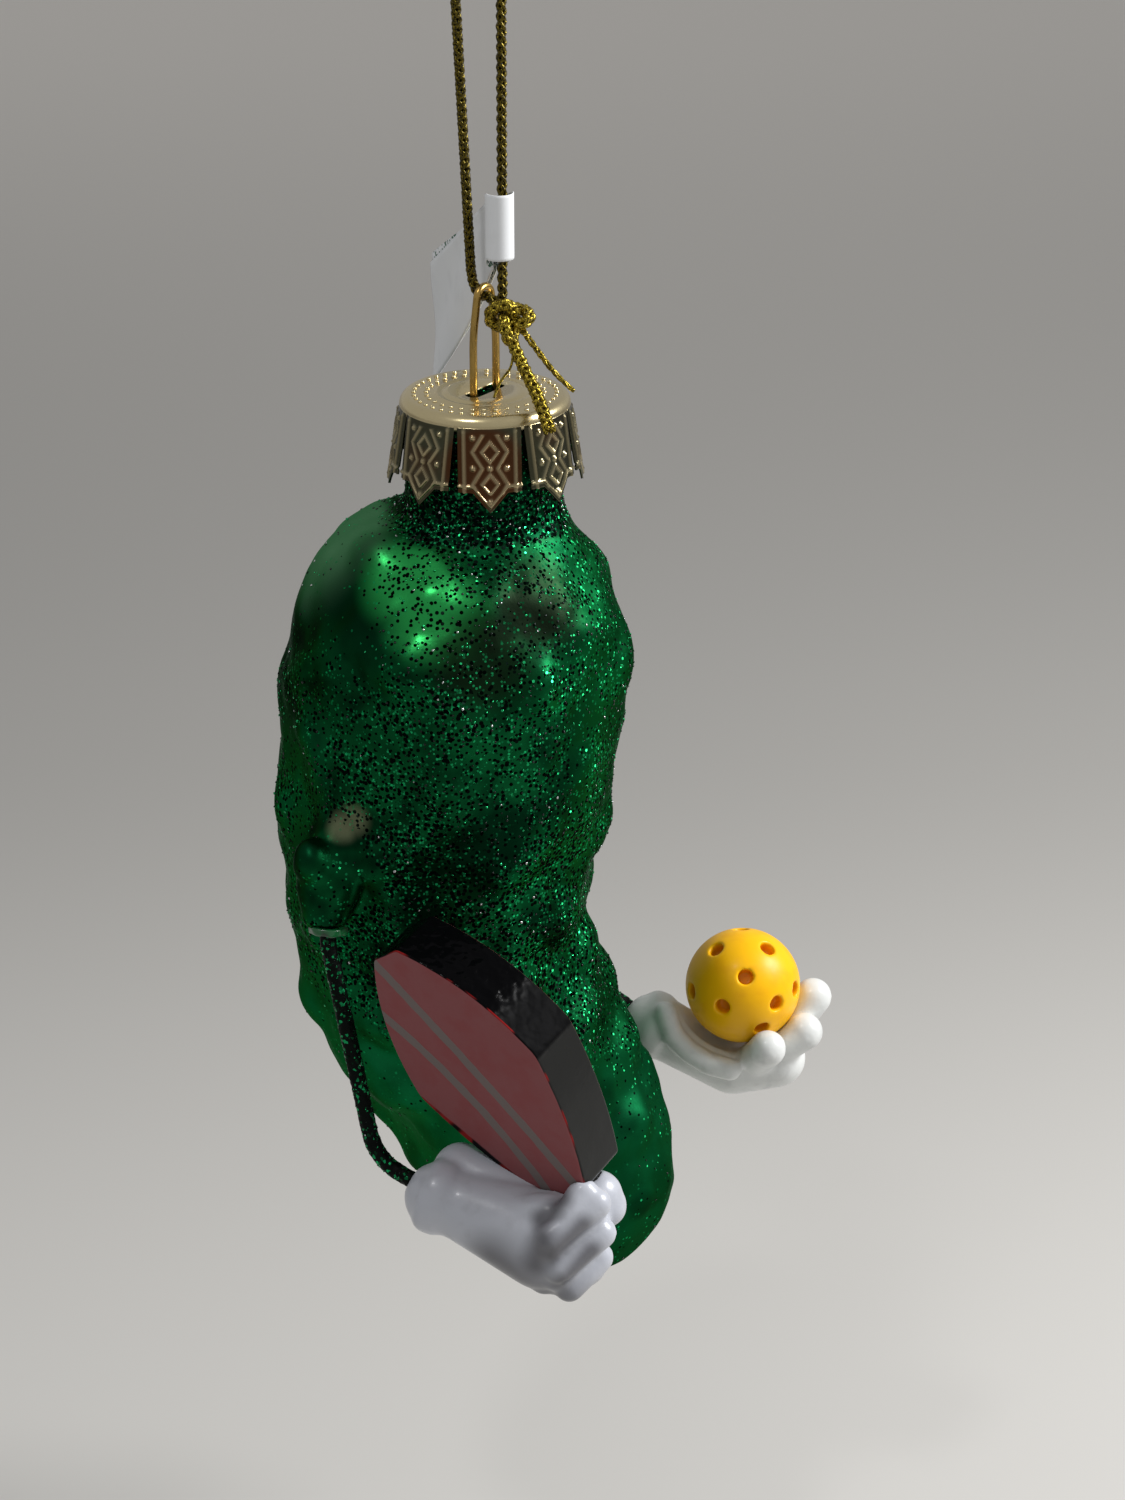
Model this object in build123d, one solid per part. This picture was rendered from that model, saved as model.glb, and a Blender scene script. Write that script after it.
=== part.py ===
"""Blown-glass pickle ornament with wire arms, a paddle, a ball and a hanging cord.

Sizes are millimetres. Heights are measured from the top of the cap while the
pieces are made, and every piece is then moved so that the origin lies where
the cord loop bears on its hook.
"""

import math
import os

from build123d import *

# Cap, a stamped sheet-metal crown
cap_radius = 10.0
cap_edge_radius = 1.2
cap_sheet = 0.35
cap_flare = 1.5
cap_boss_radius = 4.8
cap_boss_height = 0.3
petal_count = 8
petal_length = 8.6
petal_tip = 2.3
petal_gap = 0.3
petal_tip_width = 4.0
petal_turn = 4.0

# Glass shell
glass_wall = 1.1
neck_clearance = 0.35
neck_length = 13.0
rim_gap = 0.2
wart_radius = 6.5
wart_height = 1.2
wart_rows = 8
warts_per_row = 7
wart_turn = 25.0
first_wart_row = 0.26
last_wart_row = 0.93

# Centre line and radius of the pickle below its neck: sideways, height, radius
pickle_stations = [
    (-0.4, -17.5, 13.4),
    (-1.8, -23.6, 18.4),
    (-3.8, -33.7, 20.6),
    (-5.1, -45.6, 20.5),
    (-6.4, -57.8, 19.4),
    (-6.3, -68.8, 18.3),
    (-3.7, -79.4, 17.9),
    (1.0, -89.5, 17.3),
    (6.1, -97.6, 15.8),
    (10.0, -103.6, 13.7),
]
tip_angles = [40, 60, 75, 85]

# Arm stubs drawn out of the glass, and the wires glued into them
stub_root_radius = 4.4
stub_radius = 3.9
stub_mouth_radius = 2.6
stub_knob_radius = 2.7
socket_depth = 6.0
socket_clearance = 0.1
wire_diameter = 2.0
wire_bend = 7.0
wire_mouth_bend = 6.0
wire_straight = 2.0
wire_end_gap = 0.3
glue_thickness = 0.9
glue_rim = 0.3
glue_clearance = 0.03
stub_height_share = 0.5
stub_root = Vector(-15.2, -11.5, -48.5)
stub_elbow = Vector(-18.4, -17.2, -53.5)
stub_mouth = Vector(-18.7, -19.0, -60.0)
stub_knob = Vector(-20.3, -18.8, -51.6)

# Gloves, cast in resin
cuff_radius = 4.6
cuff_length = 4.2
cuff_rounding = 1.6
wrist_radius = 4.1
wrist_length = 5.2
wire_seat_depth = 3.4
seat_clearance = 0.05

# Fist on the near arm: places of the fingers and thumb are measured from its palm
paddle_cuff = Vector(-7.6, -31.0, -89.0)
paddle_palm = Vector(7.0, -36.0, -92.6)
paddle_wire_knee = Vector(-13.2, -28.6, -86.2)
fist_radius = 6.0
grip_radius = 3.0
fist_fingers = [
    (Vector(2.6, -3.5, 5.6), Vector(4.4, -1.9, 7.8), 1.7),
    (Vector(0.3, -4.5, 1.9), Vector(5.2, -2.0, 5.4), 2.0),
    (Vector(1.3, -4.0, -2.3), Vector(5.3, -1.5, 1.0), 2.0),
    (Vector(-0.1, -2.0, -4.2), Vector(4.6, 0.0, -3.0), 1.9),
]
fist_thumb = (Vector(-6.5, 1.0, 2.8), Vector(0.5, -1.5, 4.2), 2.6)

# Paddle, a thick kite-shaped slab with bowed sides and a short round handle
paddle_length = 36.0
paddle_widest = 18.0
paddle_width = 23.2
paddle_top_width = 4.6
paddle_foot_width = 7.2
paddle_upper_bow = 1.7
paddle_lower_bow = 0.9
paddle_thickness = 7.4
paddle_corner = 1.2
paddle_side_round = 3.0
paddle_edge_round = 0.4
handle_radius = 1.8
handle_length = 5.5
paddle_centre = Vector(1.0, -30.1, -71.6)
paddle_normal = Vector(-0.55, -0.801, -0.2355)
paddle_axis = Vector(0.586, -0.170, -0.7945)

# Ball
ball_radius = 7.5
ball_hole_radius = 1.0
ball_hole_depth = 1.6
ball_centre = Vector(32.6, 14.0, -85.5)
ball_pole = Vector(-0.005, -0.80, 0.59)

# Holes in one half of the ball: angle from the pole, angle round it. The other half faces them.
ball_holes = [(0, 0), (43, 53), (47, 133), (70, 190), (40, 231), (63, 290), (45, 322), (67, 352), (74, 92)]

# Cupped hand under the ball: fingers are placed by compass angle and height angle about the ball
ball_cuff = Vector(19.0, 15.0, -91.0)
ball_wire_knee = Vector(9.5, 20.5, -86.0)
cup_palm_radius = 4.6
cup_palm_drop = 3.6
cup_palm_back = 1.0
cup_palm_gap = 1.4
cup_heel = Vector(5.5, -0.5, 0.6)
cup_heel_radius = 4.0
cup_fingers = [
    ((10, -62), (12, -16), 2.5),
    ((-22, -68), (-22, -31), 2.5),
    ((-60, -70), (-70, -30), 2.4),
    ((120, -66), (112, -24), 2.2),
]

# Wire bail through the cap
bail_diameter = 0.9
bail_height = 12.6
bail_foot_span = 4.4
bail_eye_span = 2.3
bail_shoulder = 7.0
bail_shoulder_bend = 18.0
bail_bend = 1.3
bail_leg_depth = 13.0
bail_leg_bend = 3.0
bail_waist_drop = 1.5
bail_turn = 55.0
slot_clearance = 0.5

# Hanging cord, its knot, its tails and the folded paper tag
cord_diameter = 1.2
hook_radius = 2.15
hook_offset = -0.5
hook_arc_share = 0.96
loop_height = 54.8
eye_gap = 0.05
eye_bend = 1.2
eye_lead_in = 1.7
eye_lead_out = 1.6
knot_radius = 2.4
knot_stand_off = 1.2
knot_drop = 2.3
knot_entry = Vector(-0.8, 0, 1.9)
knot_exit_share = 0.5
knot_wraps = [(0, 0), (60, 20), (-60, 70)]
wrap_sink = 0.1
wrap_radius = 0.55
tail_bend = 2.4
tail_radii = {"cord_tail_thick": 0.75, "cord_tail_thin": 0.5}
tail_routes = {
    "cord_tail_thick": [(0.0, -0.9, -1.6), (1.5, -3.0, -4.6), (3.4, -5.8, -7.4), (4.6, -9.3, -10.2)],
    "cord_tail_thin": [(1.4, -0.3, -1.0), (3.3, -1.2, -3.4), (5.4, -2.2, -6.0), (7.4, -2.8, -7.6)],
}
tag_paper = 0.25
tag_roll_radius = 1.55
tag_shift = Vector(-0.3, 0, 0)
tag_length = 27.0
tag_height = 15.4
tag_roll_height = 7.6
tag_droop = 19.1
tag_direction = 108.5
tag_centre_height = 20.2

sideways = Vector(0, 1, 0)
up = Vector(0, 0, 1)


def limb(start, end, start_radius, end_radius):
    """A round limb: two balls and the cone that touches both."""
    along = end - start
    length = along.length
    lean = math.asin((start_radius - end_radius) / length)
    rise, out = math.sin(lean), math.cos(lean)
    near = (start_radius * out, start_radius * rise)
    far = (end_radius * out, length + end_radius * rise)
    mid_near = math.radians(-90 + math.degrees(lean)) / 2
    mid_far = math.radians(90 + math.degrees(lean)) / 2
    outline = [
        ThreePointArc(
            (0, -start_radius),
            (start_radius * math.cos(mid_near), start_radius * math.sin(mid_near)),
            near,
        ),
        Line(near, far),
        ThreePointArc(
            far,
            (end_radius * math.cos(mid_far), length + end_radius * math.sin(mid_far)),
            (0, length + end_radius),
        ),
        Line((0, length + end_radius), (0, -start_radius)),
    ]
    half = Plane.XZ * make_face(outline)
    return Plane(start, z_dir=along) * revolve(half, Axis.Z)


def route_line(points, radii):
    """Straight runs joined by tangent arcs."""
    return FilletPolyline(*points, radius=radii)


def tube(points, radii, radius):
    """A round rod along straight runs joined by arcs."""
    path = route_line(points, radii)
    section = Plane(path @ 0, z_dir=path % 0) * Circle(radius)
    return sweep(section, path=path)


def rod(start, end, radius):
    """A plain cylinder from one point to another."""
    along = end - start
    return Plane(start, z_dir=along) * extrude(Circle(radius), along.length)


def turned_about_pickle(point):
    """The matching point on the far side of the pickle, half a turn about its axis."""
    axis_x = station_at(stub_height_share)[0].X
    return Vector(2 * axis_x - point.X, -point.Y, point.Z)


# Pickle centre line
neck_radius = cap_radius - cap_sheet - neck_clearance
neck_top = -cap_sheet - rim_gap
stations = [(Vector(0, 0, -neck_length), neck_radius)]
stations += [(Vector(x, 0, z), r) for x, z, r in pickle_stations]


def tangent(index):
    """Direction of the centre line at a station, from its two neighbours."""
    low = max(index - 1, 0)
    high = min(index + 1, len(stations) - 1)
    return (stations[high][0] - stations[low][0]).normalized()


def station_at(share):
    """Centre, direction and radius part way down the pickle, by straight interpolation."""
    place = share * (len(stations) - 1)
    index = min(int(place), len(stations) - 2)
    part = place - index
    (low, low_r), (high, high_r) = stations[index], stations[index + 1]
    heading = tangent(index) * (1 - part) + tangent(index + 1) * part
    return low + (high - low) * part, heading.normalized(), low_r + (high_r - low_r) * part


def pickle_loft(inset):
    """The pickle's smooth form below the neck, drawn in by a wall thickness."""
    rounds = [(c, tangent(i), r - inset) for i, (c, r) in enumerate(stations)]
    rounds[0] = (stations[0][0], -up, stations[0][1] - inset)
    tip, heading, tip_radius = rounds.pop()
    for angle in tip_angles:
        ahead = tip_radius * math.sin(math.radians(angle))
        around = tip_radius * math.cos(math.radians(angle))
        rounds.append((tip + heading * ahead, heading, around))
    sections = [Plane(c, x_dir=sideways, z_dir=d) * Circle(r) for c, d, r in rounds]
    return loft(sections)


def warts():
    """Rows of round warts, each row turned against the last."""
    balls = []
    row_step = (last_wart_row - first_wart_row) / (wart_rows - 1)
    for row in range(wart_rows):
        centre, heading, radius = station_at(first_wart_row + row_step * row)
        across = heading.cross(sideways)
        for step in range(warts_per_row):
            turn = math.radians(360 * step / warts_per_row + wart_turn * row)
            outward = sideways * math.cos(turn) + across * math.sin(turn)
            sunk = radius + wart_height - wart_radius
            balls.append(Pos(*(centre + outward * sunk)) * Sphere(wart_radius))
    return balls


def stub(root, elbow, mouth, knob):
    """One glass arm stub, rounded at the shoulder and narrowing to its mouth."""
    down = (mouth - elbow).normalized()
    neck = limb(elbow, mouth, stub_radius, stub_mouth_radius)
    beyond = Plane(mouth, z_dir=down) * extrude(Circle(3 * stub_radius), 3 * stub_radius)
    shoulder = limb(root, elbow, stub_root_radius, stub_radius)
    lobe = limb(elbow, knob, stub_knob_radius, stub_knob_radius)
    return shoulder + (neck - beyond) + lobe


def socket(elbow, mouth):
    """The blind bore in a stub that takes the wire's end."""
    inward = (elbow - mouth).normalized()
    return rod(mouth - inward, mouth + inward * socket_depth, wire_diameter / 2 + socket_clearance)


near_stub = (stub_root, stub_elbow, stub_mouth, stub_knob)
far_stub = tuple(turned_about_pickle(p) for p in near_stub)


def glass_body():
    """The blown shell: pickle, neck, warts and arm stubs, open at the neck."""
    neck = Pos(0, 0, -neck_length) * extrude(Circle(neck_radius), neck_length + neck_top)
    outer = pickle_loft(0) + neck
    outer = outer + warts()
    outer = outer + stub(*near_stub) + stub(*far_stub)
    bore = Pos(0, 0, -neck_length) * extrude(Circle(neck_radius - glass_wall), neck_length + 1)
    hollow = pickle_loft(glass_wall) + bore
    return outer - hollow - socket(*near_stub[1:3]) - socket(*far_stub[1:3])


def cap():
    """The crown cap: a flat top with a low boss, and flared petals with pointed ends."""
    skirt = petal_length + petal_tip
    low_radius = cap_radius + cap_flare
    edge = cap_edge_radius

    def half(inset, drop):
        corner = (cap_radius - edge, -inset)
        middle = math.sqrt(0.5) * (edge - inset)
        bow = (cap_radius - edge + middle, -edge + middle)
        side = (cap_radius - inset, -edge)
        foot = (low_radius - inset, -skirt - drop)
        lines = [
            Line((0, -inset), corner),
            ThreePointArc(corner, bow, side),
            Line(side, foot),
            Line(foot, (0, foot[1])),
            Line((0, foot[1]), (0, -inset)),
        ]
        return revolve(Plane.XZ * make_face(lines), Axis.Z)

    shell = half(0, 0) - half(cap_sheet, 1)
    half_width = cap_radius * math.sin(math.pi / petal_count) - petal_gap / 2
    point_half = petal_tip_width / 2
    outline = Polyline(
        (-half_width, 0),
        (-half_width, -petal_length),
        (-point_half, -petal_length),
        (0, -skirt),
        (point_half, -petal_length),
        (half_width, -petal_length),
        (half_width, 0),
        close=True,
    )
    petal = extrude(Plane.XZ * make_face(outline), 2 * cap_radius)
    keep = Pos(0, 0, -edge) * extrude(Circle(2 * cap_radius), 2 * edge)
    for step in range(petal_count):
        keep += Rot(0, 0, petal_turn + 360 * step / petal_count) * petal
    crown = shell & keep
    crown += extrude(Circle(cap_boss_radius), cap_boss_height)
    slot_length = bail_foot_span + bail_diameter + slot_clearance
    slot = SlotOverall(slot_length, bail_diameter + slot_clearance)
    cut = Rot(0, 0, bail_turn) * Pos(0, 0, -2) * extrude(slot, 4)
    return crown - cut


bail_plane = Vector(math.cos(math.radians(bail_turn)), math.sin(math.radians(bail_turn)), 0)
eye_axis = bail_plane.cross(up)
eye_height = bail_height - bail_diameter / 2 - cord_diameter / 2 - eye_gap
eye = Vector(0, 0, eye_height)


def bail():
    """The wire loop: legs spread inside the neck, rise through the cap and meet in a round eye."""
    foot = bail_foot_span / 2
    top = bail_eye_span / 2
    waist = -cap_sheet - bail_waist_drop
    spread = neck_radius - glass_wall - bail_diameter
    flat = [
        (-spread, -bail_leg_depth),
        (-foot, waist),
        (-foot, bail_shoulder),
        (-top, bail_height),
        (top, bail_height),
        (foot, bail_shoulder),
        (foot, waist),
        (spread, -bail_leg_depth),
    ]
    bends = [bail_leg_bend, bail_shoulder_bend, bail_bend]
    points = [bail_plane * s + up * z for s, z in flat]
    return tube(points, bends + bends[::-1], bail_diameter / 2)


# Cord route: knot, up one strand, over the hook, down the other, through the eye, knot
loop_bend = hook_radius + cord_diameter / 2
knot = eye + eye_axis * (knot_radius + knot_stand_off) - up * knot_drop
eye_exit = eye + eye_axis * eye_lead_out
to_knot = (knot - eye_exit).normalized()
cord_route = [
    knot + knot_entry,
    Vector(hook_offset + loop_bend, 0, loop_height),
    Vector(hook_offset - loop_bend, 0, loop_height),
    eye - eye_axis * eye_lead_in,
    eye_exit,
    knot - to_knot * knot_radius * knot_exit_share,
]
cord_bends = [hook_arc_share * loop_bend, hook_arc_share * loop_bend, eye_bend, eye_bend]


def cord_loop():
    """The braided cord as a tight tube, from the knot over the hook to the eye."""
    return tube(cord_route, cord_bends, cord_diameter / 2)


def cord_knot():
    """An overhand knot: a rounded core with the cord wrapped round it three ways."""
    lump = Pos(*knot) * Sphere(knot_radius)
    for tilt, turn in knot_wraps:
        wrap = Torus(knot_radius - wrap_sink, wrap_radius)
        lump += Pos(*knot) * Rot(0, tilt, turn) * wrap
    return lump


def cord_tail(route, radius):
    """One loose end of the cord below the knot."""
    points = [knot + Vector(*p) for p in route]
    return tube(points, [tail_bend, tail_bend], radius)


def tag():
    """A paper label folded round the cord, its two leaves stuck together and drooping."""
    strand = cord_route[1] - cord_route[0]
    part = (tag_centre_height - cord_route[0].Z) / strand.Z
    centre = cord_route[0] + strand * part + tag_shift
    leaf = Rectangle(tag_length, 2 * tag_paper, align=(Align.MIN, Align.CENTER))
    outline = Circle(tag_roll_radius + tag_paper) + leaf - Circle(tag_roll_radius)
    sheet = Pos(0, 0, -tag_length) * extrude(outline, 2 * tag_length)
    back = -tag_roll_radius - 1
    skew = Polyline(
        (back, -tag_roll_height / 2),
        (0, -tag_roll_height / 2),
        (tag_length, -tag_droop - tag_height / 2),
        (tag_length, -tag_droop + tag_height / 2),
        (0, tag_roll_height / 2),
        (back, tag_roll_height / 2),
        close=True,
    )
    trim = extrude(Plane.XZ * make_face(skew), tag_length, both=True)
    return Pos(*centre) * Rot(0, 0, tag_direction) * (sheet & trim)


def glue(elbow, mouth):
    """The collar of glue that closes a stub's mouth round its wire."""
    down = (mouth - elbow).normalized()
    ring = Circle(stub_mouth_radius - glue_rim) - Circle(wire_diameter / 2 + glue_clearance)
    return Plane(mouth, z_dir=down) * extrude(ring, glue_thickness)


def arm_wire(elbow, mouth, knee, end):
    """A wire from inside a stub, down, round a bend and into a cuff."""
    inward = (elbow - mouth).normalized()
    top = mouth + inward * (socket_depth - wire_end_gap)
    points = [top, mouth - inward * wire_straight, knee, end]
    return tube(points, [wire_mouth_bend, wire_bend], wire_diameter / 2)


def wire_seat(knee, end):
    """The bore in a glove that takes the end of its wire."""
    inward = (end - knee).normalized()
    start = end - inward * (wire_seat_depth + cuff_radius)
    return rod(start, end + inward * seat_clearance, wire_diameter / 2 + seat_clearance)


def cuff(end, heading):
    """The rounded roll at the wrist of a glove."""
    band = extrude(Circle(cuff_radius), cuff_length)
    band = fillet(band.edges(), cuff_rounding)
    return Plane(end, z_dir=heading) * band


paddle_cuff_heading = (paddle_palm - paddle_cuff).normalized()
paddle_wire_end = paddle_cuff + paddle_cuff_heading * wire_seat_depth
ball_palm = ball_centre - Vector(cup_palm_back, 0, ball_radius + cup_palm_drop)
ball_cuff_heading = (ball_palm - ball_cuff).normalized()
ball_wire_end = ball_cuff + ball_cuff_heading * wire_seat_depth
paddle_frame = Plane(paddle_centre, x_dir=paddle_axis, z_dir=paddle_normal)


def bowed(start, end, bow):
    """A shallow arc between two points, standing out by a bow to the left of its way."""
    along = end - start
    across = Vector(-along.Y, along.X).normalized()
    return ThreePointArc(start, start + along * 0.5 + across * bow, end)


def paddle_outline(margin):
    """The kite outline of the slab, enlarged by a margin."""
    top = -paddle_length / 2 - margin
    foot = paddle_length / 2 + margin
    side = Vector(paddle_widest - paddle_length / 2, paddle_width / 2 + margin)
    top_corner = Vector(top, paddle_top_width / 2 + margin)
    foot_corner = Vector(foot, paddle_foot_width / 2 + margin)

    def other(point):
        return Vector(point.X, -point.Y)

    edges = [
        bowed(top_corner, side, paddle_upper_bow),
        bowed(side, foot_corner, paddle_lower_bow),
        Line(foot_corner, other(foot_corner)),
        bowed(other(foot_corner), other(side), paddle_lower_bow),
        bowed(other(side), other(top_corner), paddle_upper_bow),
        Line(other(top_corner), top_corner),
    ]
    return make_face(edges)


def paddle_slab(margin):
    """The slab of the paddle in its own frame, enlarged by a margin."""
    face = paddle_outline(margin)
    sides = face.vertices().sort_by(Axis.Y)
    face = fillet([sides[0], sides[-1]], paddle_side_round)
    ends = face.vertices().sort_by(Axis.X)
    face = fillet([*ends[:2], *ends[-2:]], paddle_corner)
    return extrude(face, paddle_thickness / 2 + margin, both=True)


def paddle_handle(margin):
    """The handle of the paddle in its own frame, enlarged by a margin."""
    root = paddle_length / 2 - paddle_edge_round - handle_radius
    length = paddle_length / 2 + handle_length - root + margin
    return Plane.YZ.offset(root) * extrude(Circle(handle_radius + margin), length)


def paddle():
    """A thick kite-shaped paddle with rounded edges and its handle."""
    slab = paddle_slab(0)
    slab = fillet(slab.edges().filter_by(Plane.XY), paddle_edge_round)
    return paddle_frame * (slab + paddle_handle(0))


def paddle_glove():
    """A fist round the paddle's handle, with its thumb laid in and a rolled cuff."""
    heading = paddle_cuff_heading
    wrist = paddle_cuff + heading * wrist_length
    grip = paddle_frame.from_local_coords(Vector(paddle_length / 2 + handle_length / 2, 0, 0))
    hand = cuff(paddle_cuff, heading)
    hand += limb(paddle_cuff + heading * cuff_length / 2, wrist, wrist_radius, wrist_radius)
    hand += limb(wrist, paddle_palm, wrist_radius, fist_radius)
    hand += limb(paddle_palm, grip, fist_radius, grip_radius)
    for root, end, radius in [*fist_fingers, fist_thumb]:
        hand += limb(paddle_palm + root, paddle_palm + end, radius, radius)
    hand -= paddle_frame * paddle_slab(seat_clearance)
    hand -= paddle_frame * paddle_handle(seat_clearance)
    return hand - wire_seat(paddle_wire_knee, paddle_wire_end)


def beside_ball(compass, height, radius):
    """Centre of a finger of some radius that lies against the ball."""
    turn, rise = math.radians(compass), math.radians(height)
    level = math.cos(rise)
    outward = Vector(level * math.cos(turn), level * math.sin(turn), math.sin(rise))
    return ball_centre + outward * (ball_radius + radius)


def ball_glove():
    """A cupped hand, palm up and hollow under the ball, fingers standing round it."""
    heading = ball_cuff_heading
    wrist = ball_cuff + heading * wrist_length
    hand = cuff(ball_cuff, heading)
    hand += limb(ball_cuff + heading * cuff_length / 2, wrist, wrist_radius, wrist_radius)
    hand += limb(wrist, ball_palm, wrist_radius, cup_palm_radius)
    hand += limb(ball_palm, ball_palm + cup_heel, cup_palm_radius, cup_heel_radius)
    hand -= Pos(*ball_centre) * Sphere(ball_radius + cup_palm_gap)
    for root, end, radius in cup_fingers:
        hand += limb(beside_ball(*root, radius), beside_ball(*end, radius), radius, radius)
    seat = Pos(*ball_centre) * Sphere(ball_radius + seat_clearance)
    return hand - seat - wire_seat(ball_wire_knee, ball_wire_end)


def pickleball():
    """The ball: a sphere with shallow round holes, each with another across from it."""
    ball = Sphere(ball_radius)
    frame = Plane((0, 0, 0), x_dir=(1, 0, 0), z_dir=ball_pole)
    drill = Pos(0, 0, ball_radius - ball_hole_depth) * extrude(Circle(ball_hole_radius), ball_radius)
    holes = []
    for polar, turn in ball_holes:
        for angle in (polar, polar + 180):
            tilt = Rot(0, 0, turn) * Rot(0, angle, 0)
            holes.append(frame.location * tilt * drill)
    return Pos(*ball_centre) * (ball - holes)


def build():
    """Every node by name, in its place."""
    nodes = {
        "glass_body": glass_body(),
        "cap": cap(),
        "bail_wire": bail(),
        "cord_loop": cord_loop(),
        "cord_knot": cord_knot(),
        "paper_tag": tag(),
        "paddle_arm_glue": glue(*near_stub[1:3]),
        "ball_arm_glue": glue(*far_stub[1:3]),
        "paddle_arm_wire": arm_wire(*near_stub[1:3], paddle_wire_knee, paddle_wire_end),
        "ball_arm_wire": arm_wire(*far_stub[1:3], ball_wire_knee, ball_wire_end),
        "paddle_glove": paddle_glove(),
        "paddle": paddle(),
        "ball_glove": ball_glove(),
        "pickleball": pickleball(),
    }
    for name, route in tail_routes.items():
        nodes[name] = cord_tail(route, tail_radii[name])
    return nodes


def print_cord(name, points, radii, radius, solid):
    """Length, bends and volume of a cord's tube beside its section times its length."""
    length = route_line(points, radii).length
    expected = math.pi * radius**2 * length
    bends = ", ".join(f"{bend:.2f}" for bend in radii)
    print(f"{name}: length {length:.1f} mm, bends {bends} mm,", end=" ")
    print(f"volume {solid.volume:.2f} of {expected:.2f} mm3")


os.makedirs("parts", exist_ok=True)
origin = Vector(hook_offset, 0, loop_height - cord_diameter / 2)
nodes = build()
for name, shape in nodes.items():
    export_step(Pos(*(-origin)) * shape, f"parts/{name}.step")
print_cord("cord_loop", cord_route, cord_bends, cord_diameter / 2, nodes["cord_loop"])
for name, route in tail_routes.items():
    points = [knot + Vector(*p) for p in route]
    print_cord(name, points, [tail_bend, tail_bend], tail_radii[name], nodes[name])
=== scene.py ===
"""Looks of a blown-glass pickle ornament with wire arms, a paddle, a ball and a hanging cord.

The file is laid out as an add-on: sizes and colours are properties, each group of pieces has an
operator, and main() runs the operators in order. Lengths are metres unless a name ends in _mm.
"""

import math
import random

import bmesh
import bpy
from bpy.props import FloatProperty, FloatVectorProperty, IntProperty, PointerProperty
from mathutils import Matrix, Vector, noise


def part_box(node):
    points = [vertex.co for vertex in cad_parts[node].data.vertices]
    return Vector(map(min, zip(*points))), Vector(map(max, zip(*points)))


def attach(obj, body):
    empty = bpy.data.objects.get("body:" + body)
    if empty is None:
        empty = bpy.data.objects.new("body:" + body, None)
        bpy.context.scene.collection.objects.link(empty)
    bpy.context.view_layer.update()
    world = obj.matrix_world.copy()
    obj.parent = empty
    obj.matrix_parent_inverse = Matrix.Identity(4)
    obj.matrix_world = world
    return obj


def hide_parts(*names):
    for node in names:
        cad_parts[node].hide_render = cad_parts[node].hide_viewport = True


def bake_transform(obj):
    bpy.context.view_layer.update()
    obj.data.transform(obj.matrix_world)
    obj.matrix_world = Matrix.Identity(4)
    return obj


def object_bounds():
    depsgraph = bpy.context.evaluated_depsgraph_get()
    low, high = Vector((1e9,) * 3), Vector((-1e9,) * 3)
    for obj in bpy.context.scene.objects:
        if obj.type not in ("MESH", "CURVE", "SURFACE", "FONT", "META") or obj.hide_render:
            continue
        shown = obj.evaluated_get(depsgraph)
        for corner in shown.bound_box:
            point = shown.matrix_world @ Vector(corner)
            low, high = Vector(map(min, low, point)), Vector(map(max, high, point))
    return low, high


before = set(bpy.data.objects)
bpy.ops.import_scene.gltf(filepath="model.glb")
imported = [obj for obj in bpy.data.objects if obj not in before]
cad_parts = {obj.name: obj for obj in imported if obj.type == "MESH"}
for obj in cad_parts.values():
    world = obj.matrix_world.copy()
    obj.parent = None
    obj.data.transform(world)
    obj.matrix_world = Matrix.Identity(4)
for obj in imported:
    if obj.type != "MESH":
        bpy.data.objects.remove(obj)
cad_low, cad_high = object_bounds()

bl_info = {
    "name": "Pickle ornament",
    "version": (1, 0, 0),
    "blender": (4, 5, 0),
    "location": "3D View > Sidebar > Ornament",
    "description": "Dresses the pickle ornament's pieces and sets up its stage",
    "category": "Object",
}

MM = 0.001
MERGE_DISTANCE = 0.000002
SPLINE_STEPS = 24
FULL_TURN = 2 * math.pi

# Places shared with the solid model, in millimetres in the frame
CAP_TOP_MM = Vector((0.5, 0.0, -54.2))
KNOT_MM = Vector((3.449, -2.065, -45.0))
TAG_ROLL_PLACE_MM = Vector((2.37, -1.635, -34.0))
BAIL_TURN = math.radians(55)
PADDLE_CENTRE_MM = Vector((1.5, -30.1, -125.8))
PADDLE_NORMAL = Vector((-0.55, -0.801, -0.2355)).normalized()
PADDLE_AXIS = Vector((0.586, -0.170, -0.7945)).normalized()
UP = Vector((0, 0, 1))

# Route of the cord from the eye, up the left strand, over its hook and down to the knot
CORD_ROUTE_MM = [
    (2.804, -1.613, -44.094),
    (1.811, -0.918, -42.7),
    (-0.893, 0.975, -42.7),
    (-1.201, 0.813, -35.51),
    (-2.442, 0.162, -6.59),
    (-2.75, 0.0, 0.6),
    (2.75, 0.0, 0.6),
    (2.733, -0.340, -6.59),
    (2.649, -2.065, -43.1),
]
THICK_TAIL_MM = [(0.0, -0.9, -1.6), (1.5, -3.0, -4.6), (3.4, -5.8, -7.4), (4.6, -9.3, -10.2)]
THIN_TAIL_MM = [(1.4, -0.3, -1.0), (3.3, -1.2, -3.4), (5.4, -2.2, -6.0), (7.4, -2.8, -7.6)]
KNOT_REACH = 0.76 * MM
KNOT_DEPTH = 1.3 * MM
KNOT_STEPS = 150
CORD_SPACING = 0.22 * MM
TAIL_SPACING = 0.2 * MM
STRAND_SHARE = 0.19
BRAID_RADIUS_SHARE = 0.30
BRAID_SWING_SHARE = 0.055
FILAMENT_MM = [(0.3, -1.5, -2.2), (0.6, -2.6, -4.5), (-1.2, -3.2, -6.3), (-1.8, -3.4, -8.2)]

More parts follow.
